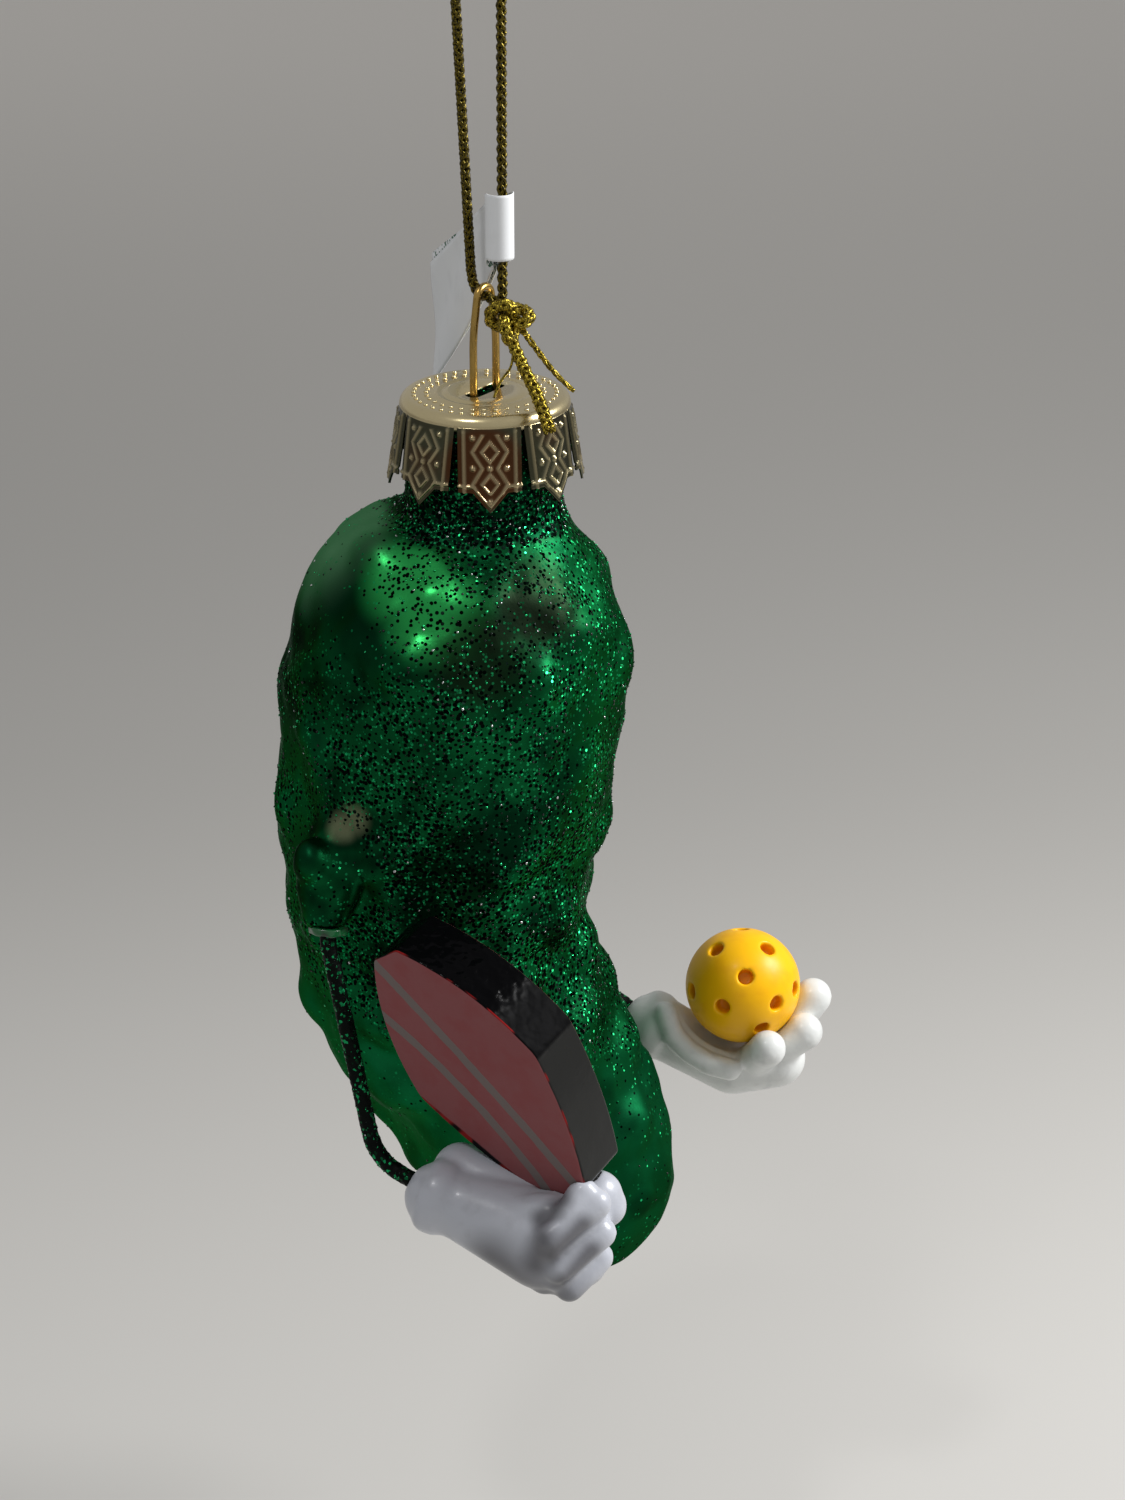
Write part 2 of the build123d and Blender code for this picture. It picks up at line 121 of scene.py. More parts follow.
# Patches of the glass: a pair is where a soft step starts and ends. The neck is thick with glitter,
# the left shoulder, the arm stubs and the lower end are nearly bare
GLITTER_NECK = (-0.0695, -0.0670)
GLITTER_COLLAR = (-0.0703, -0.0691)
COLLAR_REACH = (-0.0092, -0.0078)
GLITTER_BELLY = (-0.110, -0.086)
# Painted sheen: a pale band on the top of the bare shoulder, dark below it
MILKY_RISE = (-0.0835, -0.0725)
MILKY_BACK = (-0.0120, -0.0035)
PALE_FLANK = (0.008, 0.014)
BARE_SHOULDER_RISE = (-0.086, -0.076)
BARE_SHOULDER_REACH = (-0.0125, -0.0085)
STUBS_MM = [Vector((-17.9, -17.2, -107.7)), Vector((6.1, 17.2, -107.7))]
STUB_CROWNS_MM = [
    Vector((-14.9, -17.8, -100.8)),
    Vector((-16.2, -17.3, -101.9)),
    Vector((3.1, 17.8, -100.8)),
    Vector((4.4, 17.3, -101.9)),
]
STUB_REACH_MM = (5.0, 7.5)
CROWN_REACH_MM = (0.6, 2.7)
# Painted reflections: dark brownish patches where the lacquer shows the dark room
DARK_PATCHES_MM = [
    Vector((6.5, -13.5, -75.0)),
    Vector((0.5, -18.8, -80.0)),
    Vector((9.0, 15.0, -82.0)),
]
DARK_PATCH_REACH_MM = (3.0, 8.0)
# The dotted zone: black glitter dots on a painted highlight green, where the lamp's highlights fall
DOTTED_MM = [Vector((-8.0, -13.0, -72.5)), Vector((-5.0, -16.5, -75.5))]
DOTTED_REACH_MM = (2.6, 7.7)
SMOOTH_SLANT = Vector((0.30, 0.0, 1.0))
SMOOTH_END = (-0.137, -0.127)
SMOOTH_WAVER = 12 * MM
# Painted shade: dark blots on the smooth lower end, over a lamp's highlight
SMOOTH_BLOTS_MM = [
    Vector((17.2, -9.8, -146.0)),
    Vector((15.8, -11.1, -141.5)),
    Vector((19.6, -10.3, -158.2)),
]
SMOOTH_BLOT_REACH_MM = (1.0, 5.0)
LEFT_FLANK = (-0.0215, -0.0165)
LEFT_FLANK_RISE = (-0.096, -0.088)
SHOULDER_BACK = (0.004, 0.016)
GLASS_EDGE = (0.16, 0.34, 0.22)

# Warts and hollows of the glass: a place, a reach and a height each
WARTS_MM = [
    (Vector((-12.3, -8.6, -70.2)), 5.0, 1.1),
    (Vector((-7.8, -19.3, -81.5)), 5.0, 1.0),
    (Vector((-11.5, -9.0, -149.0)), 11.5, -3.4),
    (Vector((15.0, -6.0, -167.0)), 10.0, 1.0),
]
GLASS_VOXEL = 0.55 * MM
GLASS_SMOOTHING = (12, 3)
GLASS_ROUGHNESS = [(0.8 * MM, 7 * MM), (0.25 * MM, 3 * MM)]

# Glitter: cells of the painted kind, and loose flakes with the share of each colour
FINE_GLITTER = 0.36 * MM
COARSE_GLITTER = 0.56 * MM
FLAKE_BATCH = 100
FLAKE_THICKNESS = 0.07 * MM
FLAKE_TILT = 0.3
FLAKE_SHARES = (0.62, 0.33, 0.05)
BARE_CHANCE = 0.06
STUB_CHANCE = 0.04
SMOOTH_CHANCE = 0.02
FLAKE_DRIFT = 7 * MM
GLASS_SEED = 11
ARM_SEED = 23
WIRE_FLAKES = 240
WIRE_FLAKE_SHARE = 0.6

# Stamped cap, in millimetres from the middle of its top
CAP_RADIUS_MM = 10.0
CAP_EDGE_MM = 1.2
CAP_FLARE_MM = 1.5
CAP_BEAD_RINGS = [(8.35, 40), (6.9, 32)]
CAP_DISC_MM = [(0.0, 0.20), (4.2, 0.20), (4.6, 0.17), (4.85, 0.04), (5.05, 0.0)]
CAP_LINE_MM = [(5.3, 0.0), (5.5, 0.12), (5.7, 0.12), (5.9, 0.0)]
CAP_SHOULDER_STEPS = 8
CAP_SPIN_STEPS = 112
PETAL_COUNT = 8
PETAL_TURN = 4.0
PETAL_HALF_MM = 3.677
PETAL_LENGTH_MM = 8.6
PETAL_TIP_MM = 2.3
PETAL_POINT_MM = 2.0
PETAL_DIAMONDS_MM = (3.9, 7.6)
PETAL_BEADS_MM = [(1.95, 2.3), (1.95, 5.75), (0.0, 5.75), (0.0, 9.6)]
PETAL_RISE_MM = 0.26
PETAL_BORDER_MM = (0.72, 0.75)
PETAL_LINE_MM = 0.30
PETAL_SMALL_MM = (0.95, 1.15)
PETAL_LARGE_MM = (2.0, 3.3)
PETAL_BEAD_MM = 0.45
CAP_BEAD_MM = 0.28
SLOT_HALF = 1.0 * MM
SLOT_STRETCH = 2.2 * MM
# Where the painted copper reflection on the front petal is centred
FRONT_PETAL_MM = Vector((0.5, -10.5, -60.0))
RAISED = "raised"

# Folded tag, in millimetres from the strand that it hangs on
TAG_TURN = math.radians(108.5)
TAG_LENGTH_MM = 27.0
TAG_HEIGHT_MM = 15.4
TAG_ROLL_MM = 1.6
TAG_ROLL_HEIGHT_MM = 7.6
TAG_DROOP_MM = 19.1
TAG_SAG_MM = 1.2
TAG_LEAF_GAP_MM = 0.3
TAG_OFFSET_MM = 1.2
TAG_TIP_GAP_MM = 0.12
TAG_BELLY_MM = 0.06
TAG_CURL_MM = 1.4
TAG_CURL_START = 0.55
TAG_WAVE_MM = 0.25

# Paddle paint: a stripe starts and ends at a place across, at two places along the paddle, and bows.
# The face's paint and the red line start a little below the face
PADDLE_THICKNESS_MM = 7.4
PADDLE_STRIPE_MM = 1.45
PADDLE_STRIPES_MM = [(-2.2, 2.6, -16.7, 15.8, 0.4), (-6.8, -2.4, -9.9, 15.5, 1.3)]
PADDLE_EDGE_MM = 11.9
PADDLE_EDGE_SLOPE = 0.42
PADDLE_EDGE_LINE_MM = 0.9
PADDLE_FACE_MM = (0.16, 0.10)
PADDLE_LINE_MM = (0.36, 0.28)
# Where the lower side with the painted grey reflection starts
PADDLE_SIDE = (0.2 * MM, 1.0 * MM)
PADDLE_DULL_START = (-8 * MM, -4 * MM)
PADDLE_DULL_END = (6 * MM, 10 * MM)

# Fingers and folds of the painted gloves: two ends and a radius each
FIST_FOLDS_MM = [
    ((-2.6, -28.5, -142.0), (5.5, -31.5, -144.0), 3.4),
    ((8.0, -40.9, -143.6), (13.4, -38.4, -140.4), 1.9),
    ((9.0, -41.0, -147.6), (14.0, -38.4, -144.4), 1.9),
    ((10.3, -39.8, -151.0), (13.8, -37.4, -148.4), 1.8),
    ((9.5, -37.5, -149.6), (11.5, -36.5, -149.2), 3.5),
    ((14.2, -33.8, -143.0), (14.5, -33.9, -143.5), 2.65),
]
CUP_FOLDS_MM = [
    ((22.9, 11.6, -142.4), (23.9, 10.4, -145.2), 1.5),
    ((23.9, 10.4, -145.2), (26.0, 9.6, -147.2), 1.5),
    ((26.0, 9.6, -147.2), (28.6, 8.9, -148.6), 1.5),
    ((28.6, 8.9, -148.6), (31.4, 8.4, -149.2), 1.5),
]
# Painted shade on the fist, between its fingers and under it: two ends of a bar and the reaches of its fade
FIST_WASH_MM = [
    ((1.0, -40.0, -148.5), (10.0, -39.5, -153.0), (1.0, 6.0)),
    ((7.4, -42.3, -142.6), (6.4, -41.8, -146.6), (0.0, 3.2)),
    ((7.2, -39.9, -141.6), (9.4, -39.2, -139.6), (0.3, 2.4)),
    ((8.6, -42.4, -144.8), (11.9, -41.2, -141.9), (0.3, 2.4)),
    ((9.2, -42.6, -149.0), (12.9, -41.1, -145.4), (0.3, 2.4)),
]

# Skins of the smaller pieces: grid and rounds of smoothing, then height and grain of a soft noise
WIRE_SKIN = (0.18 * MM, 2)
WIRE_ROUGHNESS = (0.09 * MM, 0.5 * MM)
GLUE_SKIN = (0.12 * MM, 6)
GLUE_ROUGHNESS = (0.22 * MM, 1.1 * MM)
GLOVE_SKIN = (0.26 * MM, 12)
BALL_SKIN = (0.18 * MM, 9)

# Stage: a lamp has a name, a place, a width and a power
FLOOR_DROP = 60 * MM
FLOOR_HALF = 6.0
FLOOR_MID = (0.02, 0.30)
FLOOR_FAR = (0.35, 1.2)
LAMPS = [("window", (0.46, 0.02, 0.22), 0.22, 4.0), ("sparkle", (-0.12, -0.18, 0.33), 0.05, 0.3)]
ROOM_LIGHT = 0.38
CAMERA_PLACE = (0.00951, -0.3641, 0.0623)
CAMERA_TILT = math.radians(66)
CAMERA_LENS = 78.43
CAMERA_SENSOR = 36


def colour(name, note, red, green, blue):
    """A colour property, given in the usual 0 to 255 steps and kept as the light it sends back."""
    shares = [step / 255 for step in (red, green, blue)]
    shade = tuple(s / 12.92 if s <= 0.04045 else ((s + 0.055) / 1.055) ** 2.4 for s in shares)
    return FloatVectorProperty(
        name=name, description=note, default=shade, subtype="COLOR", size=3, min=0, max=1
    )


def length(name, note, size_mm):
    """A length property, given in millimetres."""
    return FloatProperty(
        name=name, description=note, default=size_mm * MM, unit="LENGTH", min=0, precision=5
    )


def whole_number(name, note, number, least):
    """A property that counts things."""
    return IntProperty(name=name, description=note, default=number, min=least)


class OrnamentSizes(bpy.types.PropertyGroup):
    """Sizes that the looks are made from."""

    cord_diameter: length("Cord", "Thickness of the braided cord", 1.2)
    thick_tail: length("Thick tail", "Thickness of the braided cord end", 1.5)
    thin_tail: length("Thin tail", "Thickness of the frayed cord end", 1.0)
    braid_pitch: length("Braid pitch", "Length of one turn of a strand in the braid", 3.4)
    braid_pairs: whole_number("Braid pairs", "Strands that wind each way", 3, 2)
    paper: length("Paper", "Thickness of the tag's paper", 0.12)
    cap_sheet: length("Cap sheet", "Thickness of the stamped cap", 0.3)
    glitter: length("Glitter", "Width of the largest glitter flakes", 0.4)
    glitter_count: whole_number("Glitter count", "Loose flakes on the glass", 4600, 0)


class OrnamentColours(bpy.types.PropertyGroup):
    """Colours of the finishes."""

    lacquer: colour("Lacquer", "Green lacquer over the silvered glass", 10, 84, 44)
    lacquer_pale: colour("Pale lacquer", "Thin lacquer on the flank", 12, 90, 45)
    # Deep green where the lacquer ran thick; also the painted shade on the glass
    lacquer_deep: colour("Deep lacquer", "Lacquer where it ran thick", 3, 40, 22)
    # Painted sheen on the top of the bare shoulder
    lacquer_milky: colour("Milky lacquer", "Dull lacquer at the top of the bare shoulder", 100, 154, 112)
    # Painted highlight: bright green where the lamp's highlights fall on the lacquer
    lacquer_bright: colour("Bright lacquer", "Clear lacquer where the silver shines through", 52, 184, 92)
    lacquer_clear: colour("Clear lacquer", "Smooth lacquer of the lower end", 16, 108, 62)
    # Painted dark reflection, brownish
    lacquer_brown: colour("Brown lacquer", "Lacquer where the silver shows brown", 24, 29, 20)
    silver: colour("Silver", "Bare silvering on the arm stubs", 116, 120, 92)
    speck: colour("Specks", "Dark glitter", 4, 11, 8)
    spark: colour("Sparks", "Bright glitter", 40, 190, 115)
    cap_gold: colour("Cap", "Champagne gold of the stamped cap", 220, 204, 160)
    # Painted shade in the cap's hollows and on its petals; the same olive marks its scuffs
    cap_olive: colour("Cap hollows", "Olive cast in the cap's hollows", 84, 84, 66)
    # Painted copper reflection on the front petal; the same copper tints the hollows at random
    cap_copper: colour("Cap copper", "Copper cast of the cap's front petal", 92, 60, 38)
    bail_gold: colour("Bail", "Brass wire", 192, 158, 88)
    cord_gold: colour("Cord gold", "Metallic yarn", 112, 96, 18)
    cord_olive: colour("Cord olive", "Dark yarn between the metallic ones", 16, 15, 3)
    knot_gold: colour("Knot gold", "Bright yarn of the knot and the ends", 198, 174, 60)
    cord_amber: colour("Cord amber", "Yarn core that shows in the knot", 48, 37, 3)
    tag_white: colour("Tag", "Outside of the paper tag", 228, 230, 232)
    tag_green: colour("Tag inside", "Specks on the inside of the tag", 38, 92, 66)
    wire_dark: colour("Arm wire", "Dark coat of the arm wires", 5, 10, 7)
    glove_white: colour("Cupped glove", "White gloss paint", 220, 222, 220)
    # Painted shade: the same white paint as the cupped glove, made greyer and cooler for the fist
    glove_grey: colour("Fist glove", "White gloss paint with a grey cast", 186, 189, 198)
    # Painted shade in the gloves' creases; the same grey also marks brush blotches on the gloves and stains
    # on the tag
    glove_shade: colour("Glove creases", "Paint where it lies thick in creases", 140, 141, 146)
    # Painted shade between the fist's fingers and under it
    glove_wash: colour("Glove wash", "Grey wash left between the fingers", 80, 79, 84)
    paddle_pink: colour("Paddle face", "Dusty mauve face", 138, 83, 85)
    paddle_stripe: colour("Paddle stripes", "Grey stripes", 114, 111, 108)
    paddle_line: colour("Paddle line", "Thin red line round the face", 138, 30, 30)
    paddle_black: colour("Paddle edge", "Black gloss edge", 4, 4, 5)
    # Painted reflection: the grey that the lower side of the black edge shows of the bright room
    paddle_grey: colour("Paddle side", "Dark grey of the lower side", 38, 38, 37)
    ball_yellow: colour("Ball", "Yellow paint", 252, 188, 2)
    # Deeper orange-yellow of the holes and of brush blotches
    ball_amber: colour("Ball hollows", "Paint pooled in the holes", 228, 150, 4)
    glue_clear: colour("Glue", "Milky glue", 40, 50, 38)
    floor_pale: colour("Floor", "Pale floor near the ornament", 198, 196, 192)
    floor_mid: colour("Floor behind", "Pale floor behind the ornament", 168, 166, 162)
    floor_far: colour("Far floor", "Pale floor far behind", 224, 220, 214)


def maths(operation, swapped=False):
    """A method that joins a varying value and another one with a Math node."""

    def method(self, other=0.0):
        pair = (other, self) if swapped else (self, other)
        return self.finish.node("ShaderNodeMath", {"operation": operation}, dict(enumerate(pair)))

    return method


class Shade:
    """A value that varies over a surface: a socket that can be used in sums."""

    def __init__(self, finish, socket):
        self.finish = finish
        self.socket = socket

    __add__ = maths("ADD")
    __radd__ = maths("ADD")
    __sub__ = maths("SUBTRACT")
    __rsub__ = maths("SUBTRACT", swapped=True)
    __mul__ = maths("MULTIPLY")
    __rmul__ = maths("MULTIPLY")
    __truediv__ = maths("DIVIDE")
    __gt__ = maths("GREATER_THAN")
    __lt__ = maths("LESS_THAN")
    __abs__ = maths("ABSOLUTE")
    lower_of = maths("MINIMUM")
    upper_of = maths("MAXIMUM")

    def step(self, low, high):
        """A soft step from 0 at low to 1 at high."""
        settings = {"interpolation_type": "SMOOTHSTEP"}
        sockets = {"Value": self, "From Min": low, "From Max": high}
        return self.finish.node("ShaderNodeMapRange", settings, sockets)


class Finish:
    """A procedural material being put together."""

    def __init__(self, name):
        self.material = bpy.data.materials.new(name)
        self.material.use_nodes = True
        self.tree = self.material.node_tree
        self.shader = self.tree.nodes["Principled BSDF"]

    def fill(self, made, sockets):
        """Sets or links a node's sockets."""
        for key, value in sockets.items():
            target = made.inputs[key]
            if isinstance(value, Shade):
                self.tree.links.new(value.socket, target)
            elif target.type == "RGBA":
                target.default_value = (*value, 1)
            else:
                target.default_value = value

    def node(self, kind, settings=None, sockets=None, output=0):
        """Adds a node of a type, with its settings first and then its sockets."""
        made = self.tree.nodes.new(kind)
        for name, value in (settings or {}).items():
            setattr(made, name, value)
        self.fill(made, sockets or {})
        return Shade(self, made.outputs[output])

    def place(self):
        """Where a point of the surface lies, in the frame."""
        return self.node("ShaderNodeTexCoord", output="Object")

    def vector(self, operation, first, second=(0, 0, 0), output=0):
        """A Vector Math node."""
        return self.node("ShaderNodeVectorMath", {"operation": operation}, {0: first, 1: second}, output)

    def along(self, origin, axis):
        """Distance of a point from an origin along an axis."""
        offset = self.vector("SUBTRACT", self.place(), origin)
        return self.vector("DOT_PRODUCT", offset, axis, output="Value")

    def cloud(self, grain, detail=3.0, stretch=(1, 1, 1)):
        """Soft noise with a grain of some length."""
        spread = self.vector("MULTIPLY", self.place(), stretch)
        return self.node("ShaderNodeTexNoise", None, {"Vector": spread, "Scale": 1 / grain, "Detail": detail})

    def cells(self, spacing, output):
        """Scattered cells, some distance apart."""
        return self.node("ShaderNodeTexVoronoi", None, {"Vector": self.place(), "Scale": 1 / spacing}, output)

    def near(self, spots_mm, reach_mm):
        """How near a point lies to some spots: 1 within the first reach, 0 beyond the second."""
        nearness = None
        for spot in spots_mm:
            away = self.vector("DISTANCE", self.place(), spot * MM, output="Value")
            mark = 1 - away.step(reach_mm[0] * MM, reach_mm[1] * MM)
            nearness = mark if nearness is None else nearness.upper_of(mark)
        return nearness

    def near_bar(self, start_mm, end_mm, reach_mm):
        """How near a point lies to a straight bar: 1 within the first reach, 0 beyond the second."""
        start = Vector(start_mm) * MM
        run = Vector(end_mm) * MM - start
        share = self.along(start, run / run.length_squared).upper_of(0.0).lower_of(1.0)
        foot = self.node("ShaderNodeVectorMath", {"operation": "SCALE"}, {0: run, "Scale": share})
        away = self.vector("DISTANCE", self.place(), self.vector("ADD", foot, start), output="Value")
        return 1 - away.step(reach_mm[0] * MM, reach_mm[1] * MM)

    def share(self, tint, channel="Red"):
        """One channel of a colour as a value."""
        return self.node("ShaderNodeSeparateColor", None, {"Color": tint}, channel)

    def mix(self, factor, first, second):
        """A blend of two colours."""
        return self.node("ShaderNodeMix", {"data_type": "RGBA"}, {0: factor, 6: first, 7: second}, 2)

    def coats(self, tint, *coats):
        """Coats of paint over a colour: how much of each shows, and its colour."""
        for share, coat in coats:
            tint = self.mix(share, tint, coat)
        return tint

    def bump(self, height, distance, strength=1.0, normal=None):
        """A surface normal tilted by a height."""
        sockets = {"Height": height, "Distance": distance, "Strength": strength}
        if normal is not None:
            sockets["Normal"] = normal
        return self.node("ShaderNodeBump", None, sockets)

    def done(self, **sockets):
        """Sets the shader's sockets, named with underscores, and gives the material."""
        self.fill(self.shader, {key.replace("_", " "): value for key, value in sockets.items()})
        return self.material


def shape_from(node):
    """A merged copy of a solid's mesh."""
    shape = bmesh.new()
    shape.from_mesh(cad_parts[node].data)
    bmesh.ops.remove_doubles(shape, verts=shape.verts, dist=MERGE_DISTANCE)
    return shape


def linked(name, data):
    """A new object in the scene."""
    holder = bpy.data.objects.new(name, data)
    bpy.context.scene.collection.objects.link(holder)
    return holder


def mesh_from(shape, name="form"):
    """A mesh made from a shape, which is used up."""
    mesh = bpy.data.meshes.new(name)
    shape.to_mesh(mesh)
    shape.free()
    return mesh


def shape_of(holder):
    """The shape of an object with its modifiers applied. The object is removed."""
    bpy.context.view_layer.update()
    depsgraph = bpy.context.evaluated_depsgraph_get()
    mesh = bpy.data.meshes.new_from_object(holder.evaluated_get(depsgraph))
    shape = bmesh.new()
    shape.from_mesh(mesh)
    bpy.data.objects.remove(holder)
    bpy.data.meshes.remove(mesh)
    return shape


def modified(shape, kind, **settings):
    """The shape as one modifier leaves it."""
    mesh = mesh_from(shape)
    holder = linked("form", mesh)
    change = holder.modifiers.new("change", kind)
    for name, value in settings.items():
        setattr(change, name, value)
    made = shape_of(holder)
    bpy.data.meshes.remove(mesh)
    return made


def curve_shape(kind, lines, **settings):
    """A shape made from curves along lines. The second half of the lines takes the second finish."""
    data = bpy.data.curves.new("route", "CURVE")
    data.dimensions = "3D"
    for name, value in settings.items():
        setattr(data, name, value)
    for index, line in enumerate(lines):
        spline = data.splines.new(kind)
        spline.points.add(len(line) - 1)
        for point, place in zip(spline.points, line):
            point.co = (*place, 1)
        spline.order_u = 3
        spline.use_endpoint_u = True
        spline.material_index = 0 if 2 * index < len(lines) else 1
    data.materials.append(None)
    data.materials.append(None)
    shape = shape_of(linked("route", data))
    bpy.data.curves.remove(data)
    return shape


def even_grid(shape, voxel):
    """The shape's skin on an even grid of small squares."""
    return modified(shape, "REMESH", mode="VOXEL", voxel_size=voxel)


def smoothed(shape, rounds, verts=None):
    """Rounds a shape's creases off, all over or at some of its points."""
    chosen = verts or shape.verts
    for _ in range(rounds):
        bmesh.ops.smooth_vert(
            shape, verts=chosen, factor=0.5, use_axis_x=True, use_axis_y=True, use_axis_z=True
        )
    shape.normal_update()
    return shape


def smooth_skin(shape, voxel, rounds):
    """The shape's skin on an even grid, rounded off."""
    return smoothed(even_grid(shape, voxel), rounds)


def roughened(shape, height, grain):
    """Moves a shape's skin in and out by a soft noise."""
    shape.normal_update()
    moves = [(v, v.normal * height * noise.noise(v.co / grain)) for v in shape.verts]
    for vert, move in moves:
        vert.co += move
    shape.normal_update()
    return shape


def new_object(name, shape, finishes):
    """A smooth-shaded object from a shape."""
    mesh = mesh_from(shape, name)
    for finish in finishes:
        mesh.materials.append(finish)
    mesh.shade_smooth()
    return linked(name, mesh)


def new_piece(name, shape, finishes, body, nodes=()):
    """A piece of the ornament that rides on a body and may stand for solids."""
    piece = new_object(name, shape, finishes)
    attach(piece, body)
    if nodes:
        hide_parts(*nodes)
    return piece


def spline_points(route, spacing):
    """Points at a steady spacing along the smooth line through a route's control points."""
    shape = curve_shape("NURBS", [route], resolution_u=SPLINE_STEPS)
    line = [v.co.copy() for v in shape.verts]
    shape.free()
    return stepped(line, spacing)


def stepped(line, spacing):
    """A line's points taken again at a steady spacing."""
    ways = [0.0]
    for before, after in zip(line, line[1:]):
        ways.append(ways[-1] + (after - before).length)
    count = max(2, round(ways[-1] / spacing))
    points = []
    index = 0
    for step in range(count + 1):
        way = ways[-1] * step / count
        while index < len(line) - 2 and ways[index + 1] < way:
            index += 1
        run = ways[index + 1] - ways[index]
        part = (way - ways[index]) / run if run else 0.0
        points.append(line[index].lerp(line[index + 1], part))
    return points


def carried_frames(points):
    """Two directions across a line at each point, carried along it without twist."""
    first = (points[1] - points[0]).normalized()
    side = first.orthogonal().normalized()
    frames = []
    for index, point in enumerate(points):
        ahead = points[min(index + 1, len(points) - 1)]
        behind = points[max(index - 1, 0)]
        heading = (ahead - behind).normalized()
        side = (side - heading * side.dot(heading)).normalized()
        frames.append((point, side, heading.cross(side)))
    return frames


def braid_lines(points, diameter, pitch, pairs, taper=0.0):
    """Lines of the strands of a round braid, half winding each way, each over and under the others."""
    frames = carried_frames(points)
    way = 0.0
    ways = [0.0]
    for before, after in zip(points, points[1:]):
        way += (after - before).length
        ways.append(way)
    middle = diameter * BRAID_RADIUS_SHARE
    swing = diameter * BRAID_SWING_SHARE
    strands = []
    for sense in (1, -1):
        for strand in range(pairs):
            line = []
            for (point, side, other), gone in zip(frames, ways):
                turn = sense * FULL_TURN * gone / pitch + FULL_TURN * strand / pairs
                out = middle + sense * swing * math.cos(FULL_TURN * pairs * gone / pitch)
                out *= 1 - taper * gone / way
                line.append(point + (side * math.cos(turn) + other * math.sin(turn)) * out)
            strands.append(line)
    return strands


def yarn_shape(lines, radius):
    """Round yarns along lines, as one shape."""
    shape = curve_shape("POLY", lines, bevel_depth=radius, bevel_resolution=1, use_fill_caps=True)
    bmesh.ops.remove_doubles(shape, verts=shape.verts, dist=MERGE_DISTANCE)
    bmesh.ops.recalc_face_normals(shape, faces=shape.faces)
    return shape


def joined(shapes):
    """Several shapes as one."""
    whole = bmesh.new()
    for shape in shapes:
        mesh = mesh_from(shape)
        whole.from_mesh(mesh)
        bpy.data.meshes.remove(mesh)
    return whole


def yarn_finish(name, bright, dark, metal):
    """Metallic yarn, with fine fibres that run across it."""
    finish = Finish(name)
    fibres = finish.cloud(0.12 * MM, 2.0, (1, 1, 0.5))
    wear = finish.cloud(1.1 * MM, 2.0)
    tint = finish.mix(fibres.step(0.38, 0.62), dark, bright)
    tint = finish.mix(wear.step(0.45, 0.8) * 0.5, tint, dark)
    return finish.done(
        Base_Color=tint,
        Metallic=metal,
        Roughness=0.18 + 0.20 * wear,
        Normal=finish.bump(fibres, 0.05 * MM, 0.7),
    )


